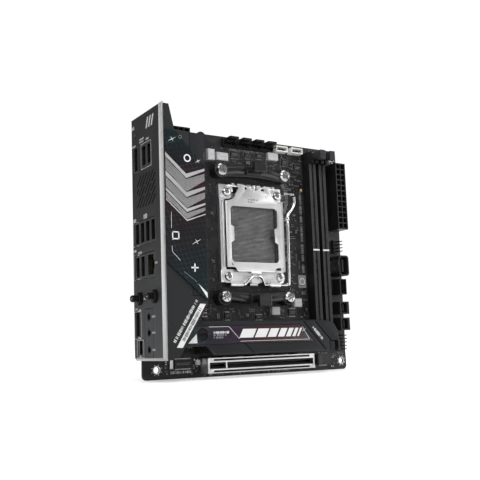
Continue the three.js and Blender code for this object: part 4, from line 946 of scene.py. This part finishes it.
def make_antenna_connectors():
    """A hexagon nut behind a threaded barrel, with a hollow end and a centre pin."""
    core, crest, turns = 2.05, 2.3, 8
    nut_back = FACE - 0.3
    nut = [(3.6, nut_back - 1.7), (3.9, nut_back - 1.5), (3.9, nut_back - 0.6)]
    for node in numbered("antenna_connector", 2):
        x0, x1, y0, y1, z0, z1 = span(node)
        centre = ((y0 + y1) / 2, (z0 + z1) / 2)
        flange = (y1 - y0) / 2
        mesh = Mesh("black_steel", "pin", "gold")
        mesh.turned(centre, nut, 0, 36, "x", hexagon)
        mesh.turned(centre, [(flange, nut_back - 0.6), (flange, nut_back)], 0, 36, "x")
        thread = [(core, x0 + 0.5)]
        start, stop = x0 + 0.6, nut_back - 1.8
        for i in range(turns):
            here = start + (stop - start) * i / turns
            thread += [(crest, here + 0.1), (core, here + 0.36)]
        thread += [(core, stop), (core, x1)]
        mesh.turned(centre, thread, 0, 28, "x")
        washer(mesh, centre, 1.35, core, x0, x0 + 0.52, 1, 28, "x")
        mesh.turned(centre, [(0.2, x0 + 0.1), (0.42, x0 + 0.3), (0.42, x0 + 0.6)], 2, 12, "x")
        made = mesh.piece(node + "_threaded", "black_steel", smooth=30)
        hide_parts(node)


def panel_ticks(mesh, y, z0, z1, tall, draw):
    """A caption of bars on the port panel, running across the board's height."""
    where = z0
    while where < z1 - 0.3:
        bar = draw.choice((0.35, 0.5, 0.7))
        mesh.block(FACE - INK, FACE, y - tall / 2, y + tall / 2, where, min(z1, where + bar))
        where += bar + 0.35


def make_panel_print(seed=3):
    """Port captions, outlines around grouped ports and a plain mark of three slanted bars."""
    draw = random.Random(seed)
    mesh = Mesh("caption_ink")
    captions = [  # y, z0, z1 and height
        (165.2, 2.6, 6.4, 2.2), (152.6, 2.6, 8.0, 1.2), (155.0, 14.5, 21.5, 1.1), (153.2, 14.5, 20.5, 1.1),
        (153.2, 24.0, 29.0, 1.1), (103.0, 2.8, 7.4, 2.4), (103.6, 19.0, 24.0, 3.0), (83.2, 2.6, 7.0, 1.6),
        (81.2, 10.0, 15.6, 1.6), (72.5, 34.4, 38.0, 1.2), (51.6, 17.2, 21.0, 1.4), (39.9, 28.6, 33.0, 1.2),
        (30.1, 28.6, 33.4, 1.2), (19.7, 28.6, 32.6, 1.2), (45.6, 4.0, 8.0, 1.2), (44.8, 10.4, 13.2, 1.2),
    ]
    for y, z0, z1, tall in captions:
        panel_ticks(mesh, y, z0, z1, tall, draw)
    line = 0.32
    for outline in ((134.6, 151.4, 16.4, 31.6), (26.6, 44.2, 2.6, 13.0), (14.9, 26.0, 6.4, 16.2)):
        rim(mesh, *outline, line, FACE - INK, FACE)
    for y0, y1 in ((85.6, 101.4), (64.0, 80.6)):
        mesh.block(FACE - INK, FACE, y0, y1, 3.0, 3.0 + line)
        for y in (y0, y1 - line):
            mesh.block(FACE - INK, FACE, y, y + line, 3.0, 5.0)
    for z in (24.0, 27.8, 31.6):
        bar = [(167.2, z + 2.7), (167.2, z + 4.6), (160.2, z + 1.9), (160.2, z)]
        mesh.loft([[(x, *corner) for corner in bar] for x in (FACE - INK, FACE)])
    mesh.piece("panel_print", "dark_panel")


# ---- cover and heatsinks ----
COVER_TOP = span("port_cover")[5]
INSERT = span("cover_insert")
SLANT_LOW, SLANT_HIGH = Vector((5.2, 14.3)), Vector((25.7, 46.5))  # ends of the cover's slanted edge


def star(mesh, x, y, reach, z, look=0):
    """A thin four-pointed glint."""
    for turn, share in ((0.5, 1.0), (2.1, 0.55)):
        ux, uy = math.cos(turn), math.sin(turn)
        half = reach * share
        mesh.prism([(x - ux * half, y - uy * half), (x + uy * 0.25, y - ux * 0.25),
                    (x + ux * half, y + uy * half), (x - uy * 0.25, y + ux * 0.25)], z, z + INK, look)


def make_insert_print():
    """Bent bands, by turns bright and hatched, and a few plain marks, all slightly raised."""
    left, right = INSERT[0] + 0.4, INSERT[1] - 0.35
    bend = left + 0.52 * (right - left)
    top = INSERT[5]
    bars = Mesh("steel", "hatched")
    edge = 140.5  # where the next band starts on the plate's left side
    for width, look in ((2.6, 0), (7.6, 1), (3.0, 0), (6.0, 1), (2.0, 0), (3.4, 1), (0.9, 0)):
        low, high = edge - 12.5, edge - 8.0
        corners = [(left, edge - width), (bend, low - width * 1.05), (right, high - width * 0.6),
                   (right, high), (bend, low), (left, edge)]
        bars.prism(corners, top - 0.02, top + (0.12 if look else 0.22), look)
        edge -= width + 0.75
    bars.piece("insert_bars", "printed_insert")

    mesh = Mesh("ink", "grey_ink")
    washer(mesh, (13.0, 138.2), 1.7, 2.5, top, top + INK)
    mesh.stroke([(1.6, 86.6), (5.8, 86.6), (5.8, 90.8), (1.6, 90.8), (1.6, 86.2)], 0.75, top, top + INK)
    for plus_arm in ([(14.4, 69.1), (18.6, 69.1)], [(16.5, 67.0), (16.5, 71.2)]):
        mesh.stroke(plus_arm, 0.9, top, top + INK)
    for x, y, reach in ((2.6, 149.4, 3.4), (18.3, 85.4, 3.8), (20.6, 137.0, 2.4)):
        star(mesh, x, y, reach, top)
    washer(mesh, (8.4, 151.4), 0.9, 1.15, top, top + INK, 1)
    mesh.stroke([(1.0, 103.0), (0.9, 93.0)], 0.22, top, top + INK)
    mesh.stroke([(1.0, 82.0), (1.2, 78.6), (6.4, 73.4)], 0.22, top, top + INK)
    mesh.stroke([(9.0, 66.5), (17.6, 60.4)], 0.22, top, top + INK, 1)
    mesh.prism([(18.6, 59.2), (24.9, 53.6), (24.9, 50.2)], top, top + INK)
    mesh.piece("insert_marks", "printed_insert")


def along_slant(share, inwards):
    """A point beside the cover's slanted edge: share of the way up it, and so far inside the cover."""
    way = SLANT_HIGH - SLANT_LOW
    side = Vector((-way.y, way.x)).normalized()
    return tuple(SLANT_LOW + way * share + side * inwards)


def make_cover_print(seed=21):
    """A pale band with dark ticks along the cover's slanted edge, and a caption line beside it."""
    draw = random.Random(seed)
    mesh = Mesh("ink", "dark_paint")
    band = [along_slant(0.16, 1.5), along_slant(0.98, 1.5), along_slant(0.93, 5.0), along_slant(0.11, 5.0)]
    mesh.prism(band, COVER_TOP, COVER_TOP + INK)
    ticks(mesh, along_slant(0.26, 3.3), along_slant(0.88, 3.3), 1.7, draw, 1, COVER_TOP + INK)
    ticks(mesh, along_slant(0.16, 8.0), along_slant(0.95, 8.0), 1.5, draw, 0, COVER_TOP, 0.4)
    mesh.piece("cover_print", "cover_plastic")


DRIVE_INSERT = span("drive_heatsink_insert")
WORD_LOW, WORD_HEIGHT, WORD_LEAN = 25.4, 5.6, 0.55


def make_drive_print(seed=8):
    """A row of leaning bars in place of a name, a fine outline, a corner flash and rows of ticks."""
    draw = random.Random(seed)
    left, low, top = DRIVE_INSERT[0], DRIVE_INSERT[2], DRIVE_INSERT[5]
    word_high, shift = WORD_LOW + WORD_HEIGHT, WORD_LEAN * WORD_HEIGHT
    mesh = Mesh("ink", "grey_ink")
    x = left + 40.6
    for width in (10.5, 8.6, 6.8, 5.2, 3.8, 2.6, 1.6):
        bar = [(x, WORD_LOW), (x + width, WORD_LOW), (x + width + shift, word_high), (x + shift, word_high)]
        mesh.prism(bar, top, top + INK)
        x += width + 1.4
    for line in ([(41.4, 1.3), (97.0, 1.3), (91.4, 9.8)], [(18.4, 10.8), (33.0, 10.8), (40.6, 3.0)]):
        mesh.stroke([(left + x, low + y) for x, y in line], 0.24, top, top + INK)
    mesh.prism([(left + 3.4, low + 0.9), (left + 9.8, low + 0.9), (left + 9.4, low + 6.6)], top, top + INK)
    for row in range(3):
        y = low + 7.2 - row * 1.6
        ticks(mesh, (left + 21.6, y), (left + 33.4 - row * 2, y), 0.95, draw, row and 1, top)
    star(mesh, left + 92.6, low + 7.6, 2.1, top)
    ticks(mesh, (left + 100.4, low + 9.4), (left + 109.4, low + 0.2), 1.3, draw, 0, span("drive_heatsink")[5])
    mesh.piece("drive_print_marks", "printed_insert")


# ---- processor socket ----
SOCKET = span("socket_body")
SOCKET_WELL = 0.8
SOCKET_MIDDLE_Y = (SOCKET[2] + SOCKET[3]) / 2
CONTACT_PITCH = (0.88, 0.94)
BRACKET_REACH = 45.0  # from the socket's middle to the cooler screws' line


def make_contact_field():
    """The socket's field of bent spring contacts on a grey carrier."""
    side, end, margin = 1.5, 2.2, 0.8  # the carrier's rim around the well, and its own bare edge
    x0, x1, y0, y1 = SOCKET[0] + side, SOCKET[1] - side, SOCKET[2] + end, SOCKET[3] - end
    floor = SOCKET[5] - SOCKET_WELL
    mesh = Mesh("contact_floor", "contact")
    mesh.block(x0, x1, y0, y1, floor, floor + 0.12)
    dx, dy = CONTACT_PITCH
    columns, rows = int((x1 - x0 - margin) / dx), int((y1 - y0 - margin) / dy)
    first_x, first_y = (x0 + x1 - (columns - 1) * dx) / 2, (y0 + y1 - (rows - 1) * dy) / 2
    for x, y in grid(first_x, first_y, columns, rows, dx, dy):
        root = rectangle(x - 0.36, x + 0.36, y - 0.26, y - 0.06)
        tip = rectangle(x - 0.34, x + 0.34, y + 0.02, y + 0.26)
        low = [(a, b, floor + 0.1) for a, b in root]
        high = [(a, b, floor + rise) for (a, b), rise in zip(tip, (0.46, 0.46, 0.44, 0.44))]
        mesh.loft([low, high], 1)
    mesh.piece("socket_contacts", "socket_plastic")


def make_hinge_springs():
    """Two thin wire springs which arch from the load plate's middle finger to its outer lugs."""
    middle = middle_of("load_plate")[0]
    top = span("load_plate")[5]
    bends = ((1.6, 130.9, 0.3), (3.6, 131.6, 0.7), (8.0, 133.4, 0.6), (14.5, 133.9, 0.3))
    mesh = Mesh("wire")
    for side in (-1, 1):
        points = [Vector((middle + side * reach, y, top + rise)) for reach, y, rise in bends]
        tube(mesh, smooth_path(points, 5), 0.3, 10)
    mesh.piece("hinge_springs", "bright_steel", "load_plate", 50)


def make_plate_marks(seed=31):
    """Two rows of ticks, a corner triangle and two pressed eyelets on the load plate."""
    draw = random.Random(seed)
    top = span("load_plate")[5]
    middle = middle_of("load_plate")[0]
    mesh = Mesh("grey_ink", "steel")
    ticks(mesh, (middle - 5.5, 123.6), (middle + 3.5, 123.6), 1.0, draw, 0, top)
    ticks(mesh, (middle - 5.5, 121.8), (middle + 1.0, 121.8), 0.8, draw, 0, top)
    mesh.prism([(66.0, 76.0), (67.8, 76.0), (66.0, 77.8)], top, top + INK)
    for side in (-1, 1):
        washer(mesh, (middle + side * 11.0, 126.6), 0.7, 1.15, top - 0.02, top + 0.12, 1, 20)
    mesh.piece("plate_marks", "bright_steel", "load_plate")


RECESS_STEP = 6  # the screw profile's step where the six-lobed recess starts


def lobes(step, reach, angle):
    return reach * (1 + 0.16 * math.cos(6 * angle)) if step >= RECESS_STEP else reach


def make_clamp_screws():
    """Domed screw heads with a six-lobed recess."""
    for node in numbered("socket_screw", 4):
        x0, x1, _, _, z0, z1 = span(node)
        radius = (x1 - x0) / 2
        seat = z1 - 2.1
        profile = [(1.4, z0), (1.4, seat), (radius, seat), (radius, seat + 0.7), (radius * 0.86, z1 - 0.5),
                   (radius * 0.62, z1 - 0.1), (1.5, z1), (1.4, z1 - 0.12), (1.3, z1 - 1.0)]
        mesh = Mesh("screw")
        mesh.turned(middle_of(node), profile, 0, 48, "z", lobes)
        made = mesh.piece(node + "_domed", "screw_steel", smooth=32)
        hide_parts(node)


def make_bracket_saddles():
    """Crowned bars on the cooler brackets, from each screw boss to the hub, which catch the light."""
    hub_half, boss_half, boss_from_end, steps = 6.7, 4.4, 5.4, 12
    half_width, foot, crown = 2.9, 7.0, 0.5
    arch = [math.pi * i / 12 for i in range(13)]
    for node, side in (("cooler_bracket_high", 1), ("cooler_bracket_low", -1)):
        x0, x1 = span(node)[:2]
        middle, boss = (x0 + x1) / 2, (x1 - x0) / 2 - boss_from_end
        line = SOCKET_MIDDLE_Y + side * BRACKET_REACH
        mesh = Mesh("gloss_black")
        for end in (-1, 1):
            rings = []
            for step in range(steps + 1):
                reach = hub_half + (boss - boss_half - hub_half) * step / steps
                bow = 1.7 - 3.2 * (reach / boss) ** 2
                height = crown + 0.9 * math.sin(math.pi * (0.18 + 0.64 * step / steps))
                ring = [(middle + end * reach, line + side * (bow - half_width * math.cos(angle)),
                         foot + height * math.sin(angle)) for angle in arch]
                rings.append(ring if end * side > 0 else ring[::-1])
            mesh.loft(rings)
        mesh.piece(node + "_saddles", "black_plastic", smooth=60)


LEVER_CRANK = [(74, 0, 0), (77, 0, 0), (78.4, 0.2, 0.1), (81, 3.6, 1.8), (84, 5.7, 3), (88.8, 5.7, 3),
               (91.8, 3.6, 1.8), (94.4, 0.2, 0.1), (96, 0, 0)]
LEVER_ARM = [(110, 0, 0), (112.4, 0, 0), (115, 0.9, 0.3), (115.9, 4, 0.7), (115.7, 42, 2.3), (115, 48.6, 2.8),
             (115.9, 52.2, 3), (119.3, 56.6, 3.6), (121.1, 60.6, 4), (121, 65.4, 4.2)]
LEVER_RADIUS = 1.05


def joint_place(name):
    """A hinge's place in board millimetres."""
    place = next(j for j in frame["joints"] if j["name"] == name)["pos_m"]
    return (place[0] - BOARD_LOW.x) / MM, (place[2] - BOARD_LOW.z) / MM, (BOARD_LOW.y - place[1]) / MM


def smooth_path(points, steps):
    """A Catmull-Rom curve through the points."""
    ends = [points[0] * 2 - points[1]] + points + [points[-1] * 2 - points[-2]]
    path = []
    for a, b, c, d in zip(ends, ends[1:], ends[2:], ends[3:]):
        for i in range(steps):
            t = i / steps
            path.append(0.5 * (2 * b + (c - a) * t + (2 * a - 5 * b + 4 * c - d) * t ** 2
                               + (3 * b - a - 3 * c + d) * t ** 3))
    return path + [points[-1]]


def tube(mesh, path, radius, sides=16, look=0):
    """A round wire along a path, with its ring turned as little as possible from step to step."""
    tangents = [(b - a).normalized() for a, b in zip(path, path[1:])]
    tangents.append(tangents[-1])
    side = tangents[0].orthogonal().normalized()
    rings = []
    for place, tangent in zip(path, tangents):
        side = (side - tangent * side.dot(tangent)).normalized()
        other = tangent.cross(side)
        rings.append([place + (side * math.cos(a) + other * math.sin(a)) * radius for a in around(sides)])
    mesh.loft(rings, look)


def make_lever():
    """One bent wire with a crank, a long arm and a crimped sleeve near its finger end."""
    _, hinge_y, hinge_z = joint_place("load_lever_hinge")
    points = [Vector((x, hinge_y + y, hinge_z + z)) for x, y, z in LEVER_CRANK + LEVER_ARM]
    mesh = Mesh("wire")
    tube(mesh, smooth_path(points, 6), LEVER_RADIUS - 0.02)
    sleeve = [Vector((115, hinge_y + y, hinge_z + 2.8)) for y in (47.2, 50.0)]
    rings = []
    for share, radius in ((0.0, 1.3), (0.12, 1.75), (0.5, 1.6), (0.88, 1.75), (1.0, 1.3)):
        place = sleeve[0].lerp(sleeve[1], share)
        rings.append([place + Vector((math.sin(a), 0, math.cos(a))) * radius for a in around(16)])
    mesh.loft(rings)
    made = mesh.piece("load_lever_wire", "bright_steel", "load_lever", 50)
    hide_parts("load_lever")


# ---- sockets, connectors and headers ----
MEMORY_KEY_Y = 89.3


def make_memory_details():
    """Contacts in the grooves, raised ribs along the walls in a light grey that is painted highlight, and
    white key marks.
    """
    contacts, ribs = Mesh("tin"), Mesh("black", "ink", "wall_highlight_grey")
    wall_top, pitch = 8.6, 0.85
    for node in numbered("memory_socket", 2):
        _, _, y0, y1, _, _ = span(node)
        x = middle_of(node)[0]
        for i in range(int((y1 - y0 - 12) / pitch)):
            y = y0 + 4 + i * pitch
            if abs(y - MEMORY_KEY_Y) < 1.6:
                continue
            for side in (-1, 1):
                a, b = sorted((x + side * 0.72, x + side * 0.42))
                contacts.block(a, b, y - 0.2, y + 0.2, 3.4, 7.9)
        # Painted highlight: the ribs are light grey where the black socket walls catch the light.
        for offset, width in ((1.15, 0.3), (2.05, 0.3), (2.8, 0.28)):
            for side in (-1, 1):
                x_low = x + side * offset - width / 2
                ribs.block(x_low, x_low + width, y0 + 0.6, y1 - 9.4, wall_top - 0.1, wall_top + 0.3, 2, 0.1)
        ribs.stud(x, MEMORY_KEY_Y, 2.9, 0.55, wall_top, wall_top + 0.36, 1)
    contacts.piece("memory_contacts", "bright_steel")
    ribs.piece("memory_ribs", "black_plastic", smooth=30)


def make_latch_grips():
    """Finger ridges on the tops of the memory latches."""
    for node in numbered("memory_latch", 2):
        x0, x1, y0, _, _, z1 = span(node)
        mesh = Mesh("latch")
        for i in range(4):
            y = y0 + 1.2 + i * 1.35
            mesh.block(x0 + 0.4, x1 - 0.4, y, y + 0.6, z1 - 0.6, z1, 0, 0.2)
        mesh.piece(node + "_grip", "latch_plastic", node, 30)


CELL = 4.2  # pitch of the power connectors
POWER_CONNECTORS = (  # CAD node, height of its lowest row of contacts, columns, rows
    ("main_power_connector", 2.7, 2, 12), ("processor_power_connector", 4.1, 4, 2),
)
PIN_PITCH = 2.54


def power_contacts():
    """Every contact of both power connectors, as x, y and the top of its connector."""
    contacts = []
    for node, up, columns, rows in POWER_CONNECTORS:
        x0, _, y0, _, _, top = span(node)
        contacts += [(x, y, top) for x, y in grid(x0 + 2.7, y0 + up, columns, rows, CELL, CELL)]
    return contacts


def make_power_pins():
    """Square contacts in the pockets of both power connectors."""
    mesh = Mesh("tin")
    for x, y, top in power_contacts():
        mesh.stud(x, y, 0.45, 0.45, 2.8, top - 3.4, 0, 0.15)
    mesh.piece("power_pins", "screw_steel", smooth=30)


def pin_rows():
    """Every bare header pin, as its middle's x and y and the heights that it shows between."""
    rows = []
    for node in numbered("fan_header", 4):
        x = middle_of(node)[0]
        rows += [(x + (i - 1.5) * PIN_PITCH, 164.6, 1.7, 9.5) for i in range(4)]
    for node, count in (("side_pin_header", 4), ("front_panel_header", 5)):
        x, y = middle_of(node)
        rows += [(x + column * PIN_PITCH, y + (i - (count - 1) / 2) * PIN_PITCH, 2.6, 8.6)
                 for column in (-0.5, 0.5) for i in range(count)]
    for node in numbered("light_header", 2):
        x, y = middle_of(node)
        rows += [(x + (i - 1.5) * PIN_PITCH * 0.8, y, 2.0, 5.6) for i in range(4)]
    x, y = middle_of("front_usb_header")
    rows += [(x + side, y + (i - 4) * 1.1, 2.4, 7.6) for i in range(9) for side in (-1, 1)]
    return rows


def make_header_pins():
    mesh = Mesh("pin")
    half = 0.335
    for x, y, z0, z1 in pin_rows():
        outline = rectangle(x - half, x + half, y - half, y + half)
        tip = [(x + (a - x) * 0.5, y + (b - y) * 0.5) for a, b in outline]
        mesh.loft([[(a, b, z0) for a, b in outline], [(a, b, z1 - 0.4) for a, b in outline],
                   [(a, b, z1 + 0.02) for a, b in tip]])
    mesh.piece("header_pins", "screw_steel")


def make_port_contacts():
    """Contact strips on the tongues of the front-edge sockets."""
    mesh = Mesh("gold", "tin")
    for node in numbered("drive_port", 2):
        for i in range(6):
            mesh.bar(163.1, 163.22, middle_of(node)[1] + (i - 2.5) * 0.85, 0.2, 3.0, 6.9)
    x0, _, y0, y1, _, z1 = span("front_usb_c_header")
    for i in range(9):
        mesh.bar(162.6, 162.72, (y0 + y1) / 2 + (i - 4) * 0.95, 0.25, 3.6, 9.2)
    mesh.block(x0 - 0.02, x0 + 0.3, y0 + 3, y1 - 3, 1.0, z1 - 0.6, 1, 0.05)
    mesh.piece("edge_port_contacts", "screw_steel")


def make_slot_details():
    """Contacts in the card slot, the bridge over its key and the armour's solder tabs."""
    x0, x1, y0, y1, _, z1 = span("slot_armour")
    y = (y0 + y1) / 2
    key = 57.0
    contacts, tabs = Mesh("pin"), Mesh("steel")
    for i in range(int(x1 - x0 - 8)):
        x = x0 + 4 + i
        if abs(x - key) < 1.6:
            continue
        for side in (-1, 1):
            a, b = sorted((y + side * 0.88, y + side * 0.55))
            contacts.block(x - 0.25, x + 0.25, a, b, 3.0, 6.4)
    contacts.piece("slot_contacts", "bright_steel")
    tabs.stud(key, y, 0.55, 2.15, 9.4, z1 - 0.15, 0, 0.15)
    for i in range(7):
        x = x0 + 6 + i * (x1 - x0 - 12) / 6
        for edge, out in ((y0, -1), (y1, 1)):
            a, b = sorted((edge, edge + out * 0.35))
            tabs.block(x - 1.1, x + 1.1, a, b, 0.05, 3.2, 0, 0.1)
    tabs.piece("slot_tabs", "bright_steel", smooth=30)


# ---- back of the board ----
def solder_places():
    """Where leads come through the board: x, y and radius."""
    places = []
    for node in numbered("memory_socket", 2):
        y0 = span(node)[2]
        for i, (x, y) in enumerate(grid(middle_of(node)[0] - 2.2, y0 + 4, 4, 78, 1.45, 1.7)):
            places.append((x, y + (i % 2) * 0.5, 0.42))
    places += [(x, y, 1.05) for x, y, _ in power_contacts()]
    x0, slot_y = span("card_slot")[0], middle_of("card_slot")[1]
    places += [(x, y, 0.36) for x, y in grid(x0 + 3, slot_y - 2.1, 42, 3, 2.0, 2.1)]
    for node in SHELLS + ["aux_port", "usb_c_port", "audio_jack_block"]:
        x0, x1, y0, y1, _, _ = span(node)
        places += [(x, y, 0.55) for x, y in grid(max(3.0, x0), y0 + 1.6, 3, 6, 2.6, (y1 - y0 - 3.2) / 5)
                   if x < x1]
    places += [(x, y, 0.6) for x, y, _, _ in pin_rows()]
    return places


def make_back_joints():
    mesh = Mesh("solder")
    for x, y, radius in solder_places():
        dome(mesh, x, y, radius, -THICKNESS, -0.35 - radius * 0.35)
    mesh.piece("back_solder_joints", "board", smooth=50)


def make_back_parts(seed=19):
    """Small parts and captions on the board's back."""
    draw = random.Random(seed)
    mesh = Mesh("ceramic", "tin", "grey_ink")
    x0, x1, y0, y1, _, _ = span("rear_plate")
    for _ in range(260):
        x, y = draw.uniform(16, 134), draw.uniform(14, 156)
        if x0 - 2 < x < x1 + 2 and y0 - 2 < y < y1 + 2:
            continue
        long, wide = (0.5, 0.25) if draw.random() < 0.5 else (0.25, 0.5)
        mesh.stud(x, y, long, wide, -THICKNESS - 0.45, -THICKNESS - 0.01)
        for side in (-1, 1):
            place = (x + side * 0.4, y, 0.1, 0.25) if long > wide else (x, y + side * 0.4, 0.25, 0.1)
            mesh.stud(*place, -THICKNESS - 0.48, -THICKNESS - 0.005, 1)
    for x, y, run in ((18, 30, 20), (18, 33, 14), (124, 150, 9), (30, 158, 60), (60, 30, 50)):
        where = x
        while where < x + run:
            bar = draw.choice((0.3, 0.45, 0.7))
            mesh.bar(where, where + bar, y, 0.6, -THICKNESS - INK, -THICKNESS, 2)
            where += bar + 0.35
    mesh.piece("back_parts", "board")


PARTS = (
    finish_cad_pieces, make_hole_pads, make_chokes, make_chips, make_small_parts, make_board_print,
    make_loose_parts, make_port_insides, make_audio_face, make_jack_rings, make_antenna_connectors,
    make_panel_print, make_insert_print, make_cover_print, make_drive_print, make_contact_field,
    make_hinge_springs, make_plate_marks, make_bracket_saddles, make_clamp_screws, make_lever,
    make_memory_details, make_latch_grips, make_power_pins, make_header_pins, make_port_contacts,
    make_slot_details, make_back_joints, make_back_parts,
)


# ---- stage ----
def make_floor():
    """A wide pale floor under the board's lower edge, which glows as painted light: faintly near the board
    and brightly far from it.
    """
    reach, gap = 6.0, 0.0002  # metres
    floor_mesh = bpy.data.meshes.new("floor")
    ring = [(CENTRE.x + reach * math.cos(angle), CENTRE.y + reach * math.sin(angle), CAD_LOW.z - gap)
            for angle in around(64)]
    floor_mesh.from_pydata(ring, [], [tuple(range(len(ring)))])
    floor = bpy.data.objects.new("floor", floor_mesh)
    SCENE.collection.objects.link(floor)
    finish = Finish("pale_floor", Roughness=0.9, Specular_IOR_Level=0.1)
    mottle = finish.noise(3.0, 2.0)
    finish.set("Base Color", finish.mix(mottle, (0.9, 0.9, 0.9), (0.94, 0.94, 0.94)))
    # Painted light: the floor glows at 0.35 within 0.2 m of the middle, rising to 1.1 beyond 0.75 m, so it
    # turns white away from the board and keeps a soft shadow near it.
    finish.set("Emission Color", (1.0, 1.0, 1.0))
    from_middle = {0: finish.place, 1: tuple(CENTRE)}
    distance = finish.node("ShaderNodeVectorMath", from_middle, operation="DISTANCE").outputs[1]
    finish.set("Emission Strength", finish.range(distance, 0.2, 0.75, 0.35, 1.1))
    floor_mesh.materials.append(finish.material)


def make_surround():
    """White where the camera sees it, and a dim grey light for everything else."""
    world = bpy.data.worlds.new("surround")
    world.use_nodes = True
    SCENE.world = world
    tree = world.node_tree
    background = tree.nodes["Background"]
    path = tree.nodes.new("ShaderNodeLightPath")
    tint = tree.nodes.new("ShaderNodeMix")
    tint.data_type = "RGBA"
    tint.inputs[6].default_value = (0.26, 0.26, 0.265, 1)
    tint.inputs[7].default_value = (1.05, 1.05, 1.05, 1)
    tree.links.new(path.outputs["Is Camera Ray"], tint.inputs[0])
    tree.links.new(tint.outputs[2], background.inputs["Color"])


LAMPS = (  # name, place from the object's middle in metres, power in watts, width, height
    ("key_softbox", (-0.55, -1.0, 0.75), 9.0, 0.9, 0.7),
    ("side_softbox", (-1.3, -0.25, 0.25), 4.5, 0.7, 0.9),
    ("right_strip", (1.1, -0.5, 0.3), 5.5, 0.5, 1.0),
    ("top_softbox", (0.1, -0.2, 1.3), 7.0, 1.2, 1.2),
    ("back_softbox", (0.4, 1.2, 0.6), 5.0, 1.0, 1.0),
)


for make_part in PARTS:
    make_part()
make_floor()
make_surround()
for lamp in LAMPS:
    make_lamp(*lamp)
SCENE.view_settings.view_transform = "Standard"
